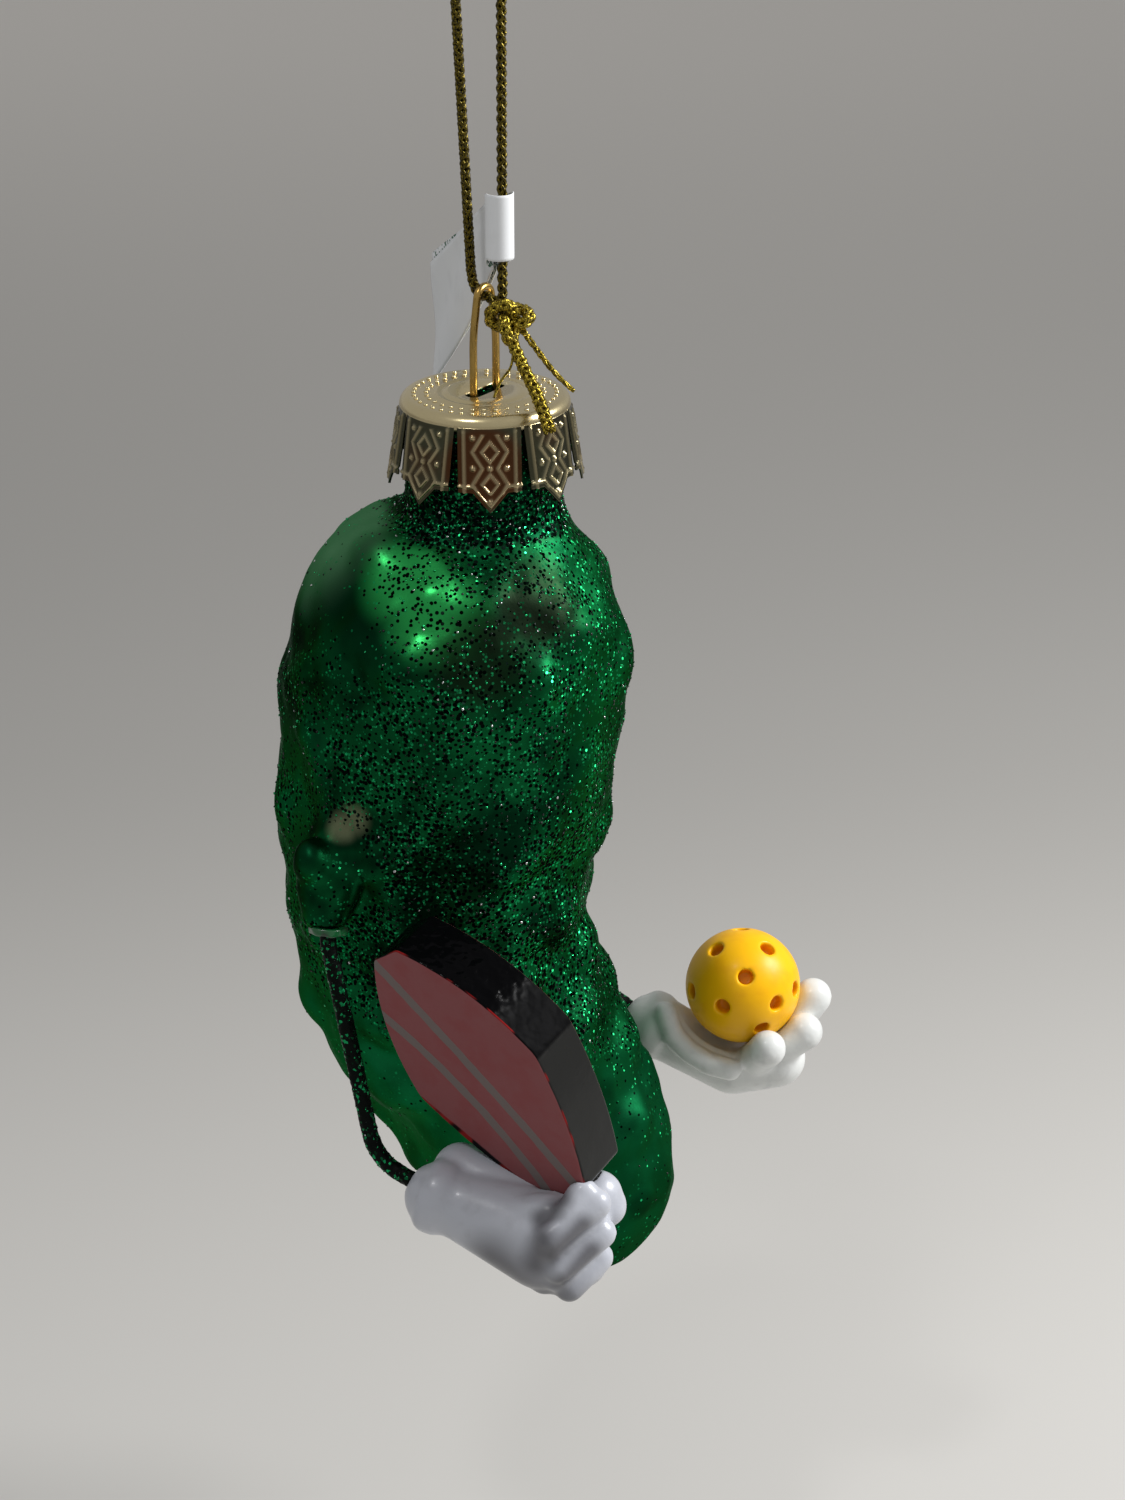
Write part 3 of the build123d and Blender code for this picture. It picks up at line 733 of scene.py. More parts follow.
def glass_finish(tones):
    """Green lacquer over silvered glass, with glitter bedded in it, and with a painted sheen, painted
    reflections, a painted highlight and painted shade.
    """
    finish = Finish("glass_lacquer")
    height = finish.along((0, 0, 0), UP)
    aside = finish.along((0, 0, 0), (1, 0, 0))
    runs = finish.cloud(8 * MM, 3.0)
    drift = finish.cloud(2.2 * MM, 2.0)
    grain = finish.cloud(0.35 * MM, 2.0)
    collar = height.step(*GLITTER_COLLAR) * aside.step(*COLLAR_REACH)
    neck = height.step(*GLITTER_NECK).upper_of(collar)
    behind = finish.along((0, 0, 0), (0, 1, 0))
    # milky is the mask of the painted sheen
    milky = height.step(*MILKY_RISE) * behind.step(*MILKY_BACK)
    belly = 1 - height.step(*GLITTER_BELLY)
    flank = aside.step(*PALE_FLANK)
    bare = height.step(*BARE_SHOULDER_RISE) * (1 - aside.step(*BARE_SHOULDER_REACH)) * (1 - neck)
    bare = bare * (1 - behind.step(*SHOULDER_BACK))
    slanted = finish.along((0, 0, 0), SMOOTH_SLANT) + SMOOTH_WAVER * (drift - 0.5)
    smooth_end = 1 - slanted.step(*SMOOTH_END)
    blot = finish.near(SMOOTH_BLOTS_MM, SMOOTH_BLOT_REACH_MM)
    stub = finish.near(STUBS_MM, STUB_REACH_MM)
    left = (1 - aside.step(*LEFT_FLANK)) * (1 - height.step(*LEFT_FLANK_RISE)) * (1 - stub)
    crown = finish.near(STUB_CROWNS_MM, CROWN_REACH_MM)
    # patch is the mask of the painted dark reflections
    patch = finish.near(DARK_PATCHES_MM, DARK_PATCH_REACH_MM)
    dotted = finish.near(DOTTED_MM, DOTTED_REACH_MM) * (1 - neck)
    thick = 0.44 + 0.32 * belly + 1.7 * (runs - 0.5) + 1.5 * (drift - 0.5) + 0.6 * neck
    thick = (thick - 0.9 * bare - 0.6 * stub - 0.15 * flank - 0.2 * left).upper_of(0.01)
    thick = thick * (1 - 0.93 * smooth_end)
    thick = thick + dotted * (0.5 - thick)

    clear = finish.coats(
        tones.lacquer,
        (runs.step(0.34, 0.58), tones.lacquer_clear),
        # Painted shade: dark blots and a darker right flank on the smooth lower end
        ((0.8 * blot).upper_of(0.55 * flank), tones.lacquer_deep),
    )
    shadow = finish.mix(neck, tones.lacquer_brown, tones.lacquer_deep)
    tint = finish.coats(
        tones.lacquer_deep,
        (runs.step(0.38, 0.62), tones.lacquer),
        (0.5 * flank, tones.lacquer_pale),
        (0.6 * left, tones.lacquer_clear),
        (smooth_end, clear),
        # Painted sheen, pale at the top of the bare shoulder, with painted shade below it
        (0.95 * bare, finish.mix(milky, tones.lacquer_deep, tones.lacquer_milky)),
        # Painted highlight green in the dotted zone
        (0.8 * dotted, tones.lacquer_bright),
        # Painted dark reflections on the patches; the neck is dark with dense glitter
        ((0.8 * patch).upper_of(0.9 * neck), shadow),
        (0.8 * crown, tones.silver),
    )
    fine_tone = finish.cells(FINE_GLITTER, "Color")
    likely = (0.03 + 0.66 * thick + 0.2 * flank * (1 - smooth_end)) * (1 - dotted)
    fine = (finish.cells(FINE_GLITTER, "Distance") < 0.46) * (finish.share(fine_tone) < likely)
    glint = finish.share(fine_tone, "Green") * (0.45 + 0.75 * runs.step(0.40, 0.60)).lower_of(1.0)
    tint = finish.mix(fine * glint, tint, tones.spark)
    coarse_tone = finish.cells(COARSE_GLITTER, "Color")
    spread = finish.cells(COARSE_GLITTER, "Distance") < 0.34 + 0.16 * thick
    coarse = spread * (finish.share(coarse_tone) < thick * 1.15)
    tint = finish.mix(coarse, tint, tones.speck)

    rough = 0.30 + 0.16 * grain - 0.08 * fine - 0.08 * dotted + 0.05 * flank.upper_of(patch)
    flake = finish.mix(coarse, fine_tone, coarse_tone)
    tilt = finish.vector("SUBTRACT", flake, (0.5, 0.5, 0.5))
    lean = 0.9 * fine.upper_of(coarse)
    tilt = finish.node("ShaderNodeVectorMath", {"operation": "SCALE"}, {0: tilt, "Scale": lean})
    facing = finish.node("ShaderNodeNewGeometry", output="Normal")
    facing = finish.vector("NORMALIZE", finish.vector("ADD", facing, tilt))
    return finish.done(
        Base_Color=tint,
        Metallic=0.95 - 0.6 * crown,
        Roughness=rough + 0.2 * bare * milky + 0.3 * crown + 0.1 * smooth_end,
        Specular_Tint=GLASS_EDGE,
        Normal=finish.bump(grain, 0.04 * MM, 0.3, facing),
    )


def flake_finish(name, tint, metal):
    """One colour of loose glitter."""
    finish = Finish(name)
    worn = finish.cloud(1.4 * MM, 1.0)
    shade = finish.mix(worn * 0.5, tint, (0.0, 0.02, 0.01))
    return finish.done(Base_Color=shade, Metallic=metal, Roughness=0.16 + 0.14 * worn)


def flake_finishes(tones):
    """Dark, emerald and pale glitter."""
    return [
        flake_finish("glitter_dark", tones.speck, 0.4),
        flake_finish("glitter_emerald", tones.spark, 0.9),
        flake_finish("glitter_pale", tones.tag_white, 0.9),
    ]


def flakes_on(spots, width, draw):
    """Small six-sided flakes lying on spots, each with its own tilt."""
    batches = []
    for index, (place, facing) in enumerate(spots):
        if index % FLAKE_BATCH == 0:
            batches.append(bmesh.new())
        radius = width / 2 * draw.uniform(0.55, 1.0)
        lean = Vector([draw.gauss(0, FLAKE_TILT) for _ in range(3)])
        stand = (facing + lean).to_track_quat("Z", "Y").to_matrix().to_4x4()
        spin = Matrix.Rotation(draw.uniform(0, FULL_TURN), 4, "Z")
        made = bmesh.ops.create_cone(
            batches[-1],
            cap_ends=True,
            segments=6,
            radius1=radius,
            radius2=radius * 0.85,
            depth=FLAKE_THICKNESS,
            matrix=Matrix.Translation(place + facing * FLAKE_THICKNESS * 0.4) @ stand @ spin,
        )
        kind = draw.choices(range(len(FLAKE_SHARES)), FLAKE_SHARES)[0]
        for face in {face for vert in made["verts"] for face in vert.link_faces}:
            face.material_index = kind
    return joined(batches)


def glitter_chance(place):
    """How thickly the loose glitter lies at a place on the glass."""
    if place.z > GLITTER_NECK[0] or (place.z > GLITTER_COLLAR[1] and place.x > COLLAR_REACH[0]):
        return 1.0
    if place.z > BARE_SHOULDER_RISE[0] and place.x < BARE_SHOULDER_REACH[0]:
        return BARE_CHANCE
    if min((place - spot * MM).length for spot in STUBS_MM) < STUB_REACH_MM[1] * MM:
        return STUB_CHANCE
    if place.dot(SMOOTH_SLANT) < sum(SMOOTH_END) / 2:
        return SMOOTH_CHANCE
    return 0.30 + 0.5 * noise.noise(place / FLAKE_DRIFT)


def warted(shape, warts_mm):
    """Raises round warts on a shape, or sinks hollows: a place, a reach and a height each."""
    shape.normal_update()
    for spot, reach, height in warts_mm:
        for vert in shape.verts:
            away = (vert.co / MM - spot).length
            if away < reach:
                vert.co += vert.normal * swell(away, reach, height) * MM
    shape.normal_update()
    return shape


def outer_skin(node):
    """The outside of a blown shell, closed over its open top."""
    shape = shape_from(node)
    top = max(v.co.z for v in shape.verts) - 0.01 * MM
    rim = [f for f in shape.faces if all(v.co.z > top for v in f.verts)]
    bmesh.ops.delete(shape, geom=rim, context="FACES")
    left = set(shape.faces)
    islands = []
    while left:
        island = set()
        edge = [left.pop()]
        while edge:
            face = edge.pop()
            island.add(face)
            near = {other for link in face.edges for other in link.link_faces} & left
            left -= near
            edge.extend(near)
        islands.append(island)
    outside = max(islands, key=lambda island: sum(f.calc_area() for f in island))
    inside = [f for f in shape.faces if f not in outside]
    bmesh.ops.delete(shape, geom=inside, context="FACES")
    bmesh.ops.holes_fill(shape, edges=[e for e in shape.edges if e.is_boundary])
    return shape


class ORNAMENT_OT_glass(bpy.types.Operator):
    """Models the lacquered glass pickle and strews its glitter"""

    bl_idname = "ornament.make_glass"
    bl_label = "Glass"

    def execute(self, context):
        sizes = context.scene.ornament_sizes
        tones = context.scene.ornament_colours
        shape = even_grid(outer_skin("glass_body"), GLASS_VOXEL)
        reach = STUB_REACH_MM[1] * MM
        plain = [v for v in shape.verts if min((v.co - spot * MM).length for spot in STUBS_MM) > reach]
        most, whole = GLASS_SMOOTHING
        shape = smoothed(smoothed(shape, most, plain), whole)
        for height, grain in GLASS_ROUGHNESS:
            shape = roughened(shape, height, grain)
        shape = warted(shape, WARTS_MM)
        draw = random.Random(GLASS_SEED)
        skin = [(v.co.copy(), v.normal.copy()) for v in shape.verts]
        draw.shuffle(skin)
        spots = [spot for spot in skin if draw.random() < glitter_chance(spot[0])]
        flakes = flakes_on(spots[: sizes.glitter_count], sizes.glitter, draw)
        new_piece("pickle_glass", shape, [glass_finish(tones)], "pickle", ["glass_body"])
        new_piece("pickle_glitter", flakes, flake_finishes(tones), "pickle")
        return {"FINISHED"}


def cap_finish(tones):
    """Thin champagne plating, with painted shade in the stamping's hollows and on the petals, a painted
    copper reflection on the front petal, a copper cast at random and dark scuffs.
    """
    finish = Finish("cap_plating")
    cast = finish.cloud(6 * MM, 1.0)
    scuff = finish.cloud(0.35 * MM, 3.0)
    raised = finish.node("ShaderNodeAttribute", {"attribute_name": RAISED}, output="Fac")
    # Painted shade and reflection: hollows and petals take the dark olive, the front petal a copper
    # reflection, while the raised top keeps the gold
    front = finish.near([FRONT_PETAL_MM], (4.0, 5.5))
    hollow = finish.mix(front.upper_of(0.5 * cast.step(0.5, 0.7)), tones.cap_olive, tones.cap_copper)
    tint = finish.mix(raised, hollow, tones.cap_gold)
    tint = finish.mix(scuff.step(0.62, 0.8) * 0.3, tint, tones.cap_olive)
    return finish.done(
        Base_Color=tint,
        Metallic=1.0,
        Roughness=0.16 + 0.16 * scuff,
        Normal=finish.bump(scuff, 0.02 * MM, 0.25),
    )


def brass_finish(tones):
    """Drawn brass wire, with fine marks along it."""
    finish = Finish("bail_brass")
    marks = finish.cloud(0.12 * MM, 2.0, (1, 1, 0.08))
    tint = finish.mix(marks.step(0.5, 0.8) * 0.5, tones.bail_gold, tones.cord_olive)
    return finish.done(Base_Color=tint, Metallic=1.0, Roughness=0.18 + 0.18 * marks)


def thickened(shape, thickness):
    """A sheet given a thickness on its inner side."""
    return modified(shape, "SOLIDIFY", thickness=thickness, offset=-1)


def cut(shape, tool):
    """A shape less a tool."""
    mesh = mesh_from(tool)
    cutter = linked("tool", mesh)
    made = modified(shape, "BOOLEAN", operation="DIFFERENCE", solver="EXACT", object=cutter)
    bpy.data.objects.remove(cutter)
    bpy.data.meshes.remove(mesh)
    return made


def swell(distance, half_width, height):
    """Height of a round swelling at some distance from its middle."""
    share = min(abs(distance) / half_width, 1)
    return height * (1 - share * share) ** 2


def petal_depth(across):
    """How far down a petal reaches at a distance across it: square shoulders and a pointed tip."""
    point = max(0.0, 1 - abs(across) / PETAL_POINT_MM)
    return PETAL_LENGTH_MM + PETAL_TIP_MM * point


def petal_radius(depth):
    """Distance of a petal's plain skin from the middle of the cap, at some depth."""
    slope = (depth - CAP_EDGE_MM) / (PETAL_LENGTH_MM + PETAL_TIP_MM - CAP_EDGE_MM)
    return CAP_RADIUS_MM + CAP_FLARE_MM * slope


def petal_relief(across, depth):
    """Height of the stamping on a petal: a border, two diamonds between zigzag lines, and beads."""
    rise = PETAL_RISE_MM
    side, foot = PETAL_BORDER_MM
    height = swell(abs(across) - PETAL_HALF_MM + side, PETAL_LINE_MM, rise)
    height = max(height, swell(petal_depth(across) - depth - foot, PETAL_LINE_MM, rise))
    nearest = min(abs(depth - middle) for middle in PETAL_DIAMONDS_MM)
    small = abs(across) / PETAL_SMALL_MM[0] + nearest / PETAL_SMALL_MM[1]
    large = abs(across) / PETAL_LARGE_MM[0] + nearest / PETAL_LARGE_MM[1]
    if abs(across) < PETAL_HALF_MM - 1.1 and 1.9 < depth < PETAL_LENGTH_MM + 0.2:
        height = max(height, swell(small - 1.0, 0.34, rise), swell(large - 1.0, 0.17, rise * 0.8))
    for aside, bead in PETAL_BEADS_MM:
        away = math.hypot(abs(across) - aside, depth - bead)
        height = max(height, 1.3 * swell(away, PETAL_BEAD_MM, rise))
    return height


def raised_share(place_mm):
    """How far a point of the cap stands out of the stamping's hollows, from 0 to 1."""
    if place_mm.z > -CAP_EDGE_MM:
        return 1.0
    above = math.hypot(place_mm.x, place_mm.y) - petal_radius(-place_mm.z)
    # Petals count at most half raised, so they keep some of the painted shade
    return 0.5 * min(max(above / PETAL_RISE_MM * 1.3, 0.0), 1.0)


def petal_shape():
    """One stamped petal at the front of the cap."""
    shape = bmesh.new()
    bmesh.ops.create_grid(shape, x_segments=50, y_segments=72, size=1)
    for vert in shape.verts:
        across = vert.co.x * PETAL_HALF_MM
        share = (1 - vert.co.y) / 2
        depth = CAP_EDGE_MM + share * (petal_depth(across) - CAP_EDGE_MM)
        radius = petal_radius(depth)
        turn = math.asin(across / radius)
        radius += petal_relief(across, depth) * min(1.0, (depth - CAP_EDGE_MM) / 0.5)
        vert.co = Vector((radius * math.sin(turn), -radius * math.cos(turn), -depth)) * MM
    bmesh.ops.recalc_face_normals(shape, faces=shape.faces)
    level = Vector((1, 1, 0))
    if sum(f.normal.dot(f.calc_center_median() * level) for f in shape.faces) < 0:
        bmesh.ops.reverse_faces(shape, faces=shape.faces)
    return shape


def cap_top_shape(sheet):
    """The cap's top: a low raised disc, a rolled line round it, a round shoulder, and the bail's slot."""
    edge = CAP_EDGE_MM
    outline = [*CAP_DISC_MM, *CAP_LINE_MM, (CAP_RADIUS_MM - edge, 0.0)]
    for step in range(1, CAP_SHOULDER_STEPS + 1):
        turn = math.radians(90 * step / CAP_SHOULDER_STEPS)
        outline.append((CAP_RADIUS_MM - edge + edge * math.sin(turn), -edge + edge * math.cos(turn)))
    outline.append((CAP_RADIUS_MM + 0.06, -edge - 0.5))
    shape = bmesh.new()
    verts = [shape.verts.new((out * MM, 0, rise * MM)) for out, rise in outline]
    edges = [shape.edges.new(pair) for pair in zip(verts, verts[1:])]
    bmesh.ops.spin(
        shape,
        geom=verts + edges,
        cent=(0, 0, 0),
        axis=UP,
        angle=FULL_TURN,
        steps=CAP_SPIN_STEPS,
        use_merge=True,
    )
    bmesh.ops.remove_doubles(shape, verts=shape.verts, dist=MERGE_DISTANCE)
    bmesh.ops.recalc_face_normals(shape, faces=shape.faces)
    if shape.faces[0].normal.z < 0:
        bmesh.ops.reverse_faces(shape, faces=shape.faces)
    return cut(thickened(shape, sheet), slot_tool())


def slot_tool():
    """The slot that the bail's legs come through, as a tool."""
    tool = bmesh.new()
    bmesh.ops.create_circle(tool, cap_ends=True, segments=28, radius=SLOT_HALF)
    for vert in tool.verts:
        vert.co.x += math.copysign(SLOT_STRETCH, vert.co.x)
    lifted = bmesh.ops.extrude_face_region(tool, geom=tool.faces[:])
    raised = [item for item in lifted["geom"] if isinstance(item, bmesh.types.BMVert)]
    bmesh.ops.translate(tool, verts=raised, vec=(0, 0, 4 * MM))
    bmesh.ops.translate(tool, verts=tool.verts, vec=(0, 0, -2 * MM))
    bmesh.ops.rotate(tool, verts=tool.verts, matrix=Matrix.Rotation(BAIL_TURN, 3, "Z"))
    bmesh.ops.recalc_face_normals(tool, faces=tool.faces)
    return tool


def bead_rings():
    """Two rings of small beads stamped near the cap's edge."""
    shape = bmesh.new()
    for radius_mm, count in CAP_BEAD_RINGS:
        for step in range(count):
            turn = FULL_TURN * step / count
            spot = Vector((radius_mm * math.cos(turn), radius_mm * math.sin(turn), 0)) * MM
            stand = Matrix.Translation(spot) @ Matrix.Diagonal((1, 1, 0.75, 1))
            bmesh.ops.create_uvsphere(
                shape, u_segments=10, v_segments=6, radius=CAP_BEAD_MM * MM, matrix=stand
            )
    return shape


class ORNAMENT_OT_hanger(bpy.types.Operator):
    """Stamps the crown cap and finishes the bail's wire"""

    bl_idname = "ornament.make_hanger"
    bl_label = "Cap and bail"

    def execute(self, context):
        sizes = context.scene.ornament_sizes
        tones = context.scene.ornament_colours
        petal = thickened(petal_shape(), sizes.cap_sheet)
        petals = []
        for step in range(PETAL_COUNT):
            copy = petal.copy()
            turn = math.radians(PETAL_TURN + 360 * step / PETAL_COUNT)
            bmesh.ops.rotate(copy, verts=copy.verts, matrix=Matrix.Rotation(turn, 3, "Z"))
            petals.append(copy)
        petal.free()
        whole = joined([cap_top_shape(sizes.cap_sheet), bead_rings(), *petals])
        raised = whole.verts.layers.float.new(RAISED)
        for vert in whole.verts:
            vert[raised] = raised_share(vert.co / MM)
        bmesh.ops.translate(whole, verts=whole.verts, vec=CAP_TOP_MM * MM)
        new_piece("crown_cap", whole, [cap_finish(tones)], "hanger", ["cap"])
        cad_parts["bail_wire"].material_slots[0].material = brass_finish(tones)
        return {"FINISHED"}


def paper_finish(tones):
    """Matt white paper with a faint tooth."""
    finish = Finish("tag_paper")
    tooth = finish.cloud(0.25 * MM, 3.0)
    stain = finish.cloud(4 * MM, 2.0)
    tint = finish.mix(stain.step(0.5, 0.8) * 0.12, tones.tag_white, tones.glove_shade)
    relief = finish.bump(tooth, 0.02 * MM, 0.3)
    return finish.done(Base_Color=tint, Roughness=0.62 + 0.1 * tooth, Normal=relief)


def paper_back_finish(tones):
    """The inside of the tag, printed with loose green specks."""
    finish = Finish("tag_inside")
    tooth = finish.cloud(0.3 * MM, 3.0)
    specks = finish.cloud(0.55 * MM, 2.0).step(0.52, 0.58)
    tint = finish.mix(specks, tones.tag_white, tones.tag_green)
    return finish.done(Base_Color=tint, Roughness=0.6, Normal=finish.bump(tooth, 0.02 * MM, 0.3))


def tag_line(share):
    """Place on the tag's folded strip seen from above, in millimetres: one leaf, the roll, the other leaf."""
    start = math.asin(TAG_LEAF_GAP_MM / TAG_ROLL_MM)
    bend = TAG_ROLL_MM * (FULL_TURN - 2 * start)
    leaf = TAG_LENGTH_MM - TAG_ROLL_MM * math.cos(start)
    way = share * (2 * leaf + bend) - leaf
    if 0 <= way <= bend:
        turn = start + way / TAG_ROLL_MM
        return TAG_ROLL_MM * math.cos(turn), TAG_ROLL_MM * math.sin(turn)
    past = -way if way < 0 else way - bend
    side = 1 if way < 0 else -1
    out = past / leaf
    gap = TAG_LEAF_GAP_MM * (1 - out) + TAG_TIP_GAP_MM * out + TAG_BELLY_MM * math.sin(math.pi * out)
    return TAG_ROLL_MM * math.cos(start) + past, side * gap


def tag_shape():
    """A paper strip folded round the strand, its two leaves drooping to one side."""
    shape = bmesh.new()
    bmesh.ops.create_grid(shape, x_segments=150, y_segments=22, size=1)
    for vert in shape.verts:
        share = (vert.co.x + 1) / 2
        across = vert.co.y
        out, aside = tag_line(share)
        reach = max(0.0, out) / TAG_LENGTH_MM
        tall = TAG_ROLL_HEIGHT_MM + (TAG_HEIGHT_MM - TAG_ROLL_HEIGHT_MM) * reach
        rise = across * tall / 2 - TAG_DROOP_MM * reach
        rise -= TAG_SAG_MM * max(0.0, -across) * math.sin(math.pi * reach)
        rise += TAG_OFFSET_MM * reach * (0 if share < 0.5 else 1)
        curl = max(0.0, across - TAG_CURL_START) ** 2 * math.sin(math.pi * min(1, reach * 1.4))
        aside += (1 if share < 0.5 else -1) * curl * TAG_CURL_MM
        aside += TAG_WAVE_MM * reach * math.sin(3.1 * across + 5 * reach)
        vert.co = Vector((out, aside, rise)) * MM
    shape.normal_update()
    roll = max(shape.faces, key=lambda face: -face.calc_center_median().x)
    if roll.normal.x > 0:
        bmesh.ops.reverse_faces(shape, faces=shape.faces)
    bmesh.ops.rotate(shape, verts=shape.verts, matrix=Matrix.Rotation(TAG_TURN, 3, "Z"))
    bmesh.ops.translate(shape, verts=shape.verts, vec=TAG_ROLL_PLACE_MM * MM)
    return shape


class ORNAMENT_OT_tag(bpy.types.Operator):
    """Folds the paper tag round its strand"""

    bl_idname = "ornament.make_tag"
    bl_label = "Tag"

    def execute(self, context):
        sizes = context.scene.ornament_sizes
        tones = context.scene.ornament_colours
        finishes = [paper_finish(tones), paper_back_finish(tones)]
        tag = new_piece("folded_tag", tag_shape(), finishes, "tag", ["paper_tag"])
        sheet = tag.modifiers.new("paper", "SOLIDIFY")
        sheet.thickness = sizes.paper
        sheet.offset = 0
        sheet.material_offset = 1
        return {"FINISHED"}


def wire_finish(tones):
    """Dark paint thick with fine green glitter."""
    finish = Finish("arm_wire_coat")
    tone = finish.cells(0.32 * MM, "Color")
    flecks = finish.share(tone).step(0.82, 0.88)
    lumps = finish.cloud(0.4 * MM, 2.0)
    tint = finish.mix(flecks * finish.share(tone, "Green"), tones.wire_dark, tones.spark)
    return finish.done(
        Base_Color=tint,
        Metallic=0.75 * flecks,
        Roughness=0.5 - 0.25 * flecks,
        Specular_IOR_Level=0.08,
        Normal=finish.bump(lumps + finish.share(tone, "Blue"), 0.06 * MM, 0.8),
    )


def glue_finish(tones):
    """Milky glue, set in drips."""
    finish = Finish("glue_milky")
    haze = finish.cloud(1.2 * MM, 2.0)
    tint = finish.mix(haze.step(0.3, 0.55), tones.glue_clear, tones.lacquer_pale)
    return finish.done(
        Base_Color=tint, Roughness=0.2 + 0.2 * haze, Coat_Weight=0.4, Normal=finish.bump(haze, 0.1 * MM, 0.4)
    )


class ORNAMENT_OT_arms(bpy.types.Operator):
    """Coats the arm wires with glitter and sets their glue"""

    bl_idname = "ornament.make_arms"
    bl_label = "Arms"

    def execute(self, context):
        sizes = context.scene.ornament_sizes
        tones = context.scene.ornament_colours
        coat = wire_finish(tones)
        glue = glue_finish(tones)
        flecks = flake_finishes(tones)
        draw = random.Random(ARM_SEED)
        for arm in ("paddle_arm", "ball_arm"):
            shape = smooth_skin(shape_from(arm + "_wire"), *WIRE_SKIN)
            shape = roughened(shape, *WIRE_ROUGHNESS)
            skin = [(v.co.copy(), v.normal.copy()) for v in shape.verts]
            spots = draw.sample(skin, WIRE_FLAKES)
            new_piece(arm + "_coat", shape, [coat], "pickle", [arm + "_wire"])
            crust = flakes_on(spots, sizes.glitter * WIRE_FLAKE_SHARE, draw)
            new_piece(arm + "_glitter", crust, flecks, "pickle")
            drip = smooth_skin(shape_from(arm + "_glue"), *GLUE_SKIN)
            drip = roughened(drip, *GLUE_ROUGHNESS)
            new_piece(arm + "_drip", drip, [glue], "pickle", [arm + "_glue"])
        return {"FINISHED"}


def glove_finish(name, tint, tones, washed_mm):
    """White gloss paint over cast resin, with painted shade in its creases and in bars between the fist's
    fingers and under it, and grey brush blotches.
    """
    finish = Finish(name)
    brush = finish.cloud(2.2 * MM, 3.0)
    pits = finish.cloud(0.5 * MM, 2.0)
    crease = finish.node("ShaderNodeNewGeometry", output="Pointiness")
    # Painted shade: the glove turns darker where its skin curves inward, in the creases
    worn = 1 - crease.step(0.40, 0.50)
    tint = finish.mix(worn * 0.6, tint, tones.glove_shade)
    tint = finish.mix(brush.step(0.5, 0.75) * 0.2, tint, tones.glove_shade)
    # Bars of painted shade laid over the paint
    for bar in washed_mm:
        tint = finish.mix(0.85 * finish.near_bar(*bar), tint, tones.glove_wash)
    return finish.done(
        Base_Color=tint,
        Roughness=0.24 + 0.16 * brush,
        Coat_Weight=0.15,
        Coat_Roughness=0.1,
        Normal=finish.bump(brush + 0.3 * pits, 0.12 * MM, 0.35),
    )


def fold_shape(start_mm, end_mm, radius_mm):
    """A round-ended roll between two places."""
    start = Vector(start_mm) * MM
    end = Vector(end_mm) * MM
    radius = radius_mm * MM
    shape = bmesh.new()
    for spot in (start, end):
        bmesh.ops.create_uvsphere(
            shape, u_segments=32, v_segments=20, radius=radius, matrix=Matrix.Translation(spot)
        )
    stand = (end - start).to_track_quat("Z", "Y").to_matrix().to_4x4()
    bmesh.ops.create_cone(
        shape,
        cap_ends=True,
        segments=32,
        radius1=radius,
        radius2=radius,
        depth=(end - start).length,
        matrix=Matrix.Translation((start + end) / 2) @ stand,
    )
    return shape


class ORNAMENT_OT_gloves(bpy.types.Operator):
    """Rounds the cast gloves off and paints them"""

    bl_idname = "ornament.make_gloves"
    bl_label = "Gloves"

    def execute(self, context):
        tones = context.scene.ornament_colours
        gloves = [
            ("fist_glove", "paddle_glove", FIST_FOLDS_MM, tones.glove_grey, FIST_WASH_MM),
            ("cupped_glove", "ball_glove", CUP_FOLDS_MM, tones.glove_white, []),
        ]
        for name, node, folds, tint, washed_mm in gloves:
            whole = joined([shape_from(node), *[fold_shape(*fold) for fold in folds]])
            shape = smooth_skin(whole, *GLOVE_SKIN)
            gloss = glove_finish(name + "_gloss", tint, tones, washed_mm)
            new_piece(name, shape, [gloss], "pickle", [node])
        return {"FINISHED"}


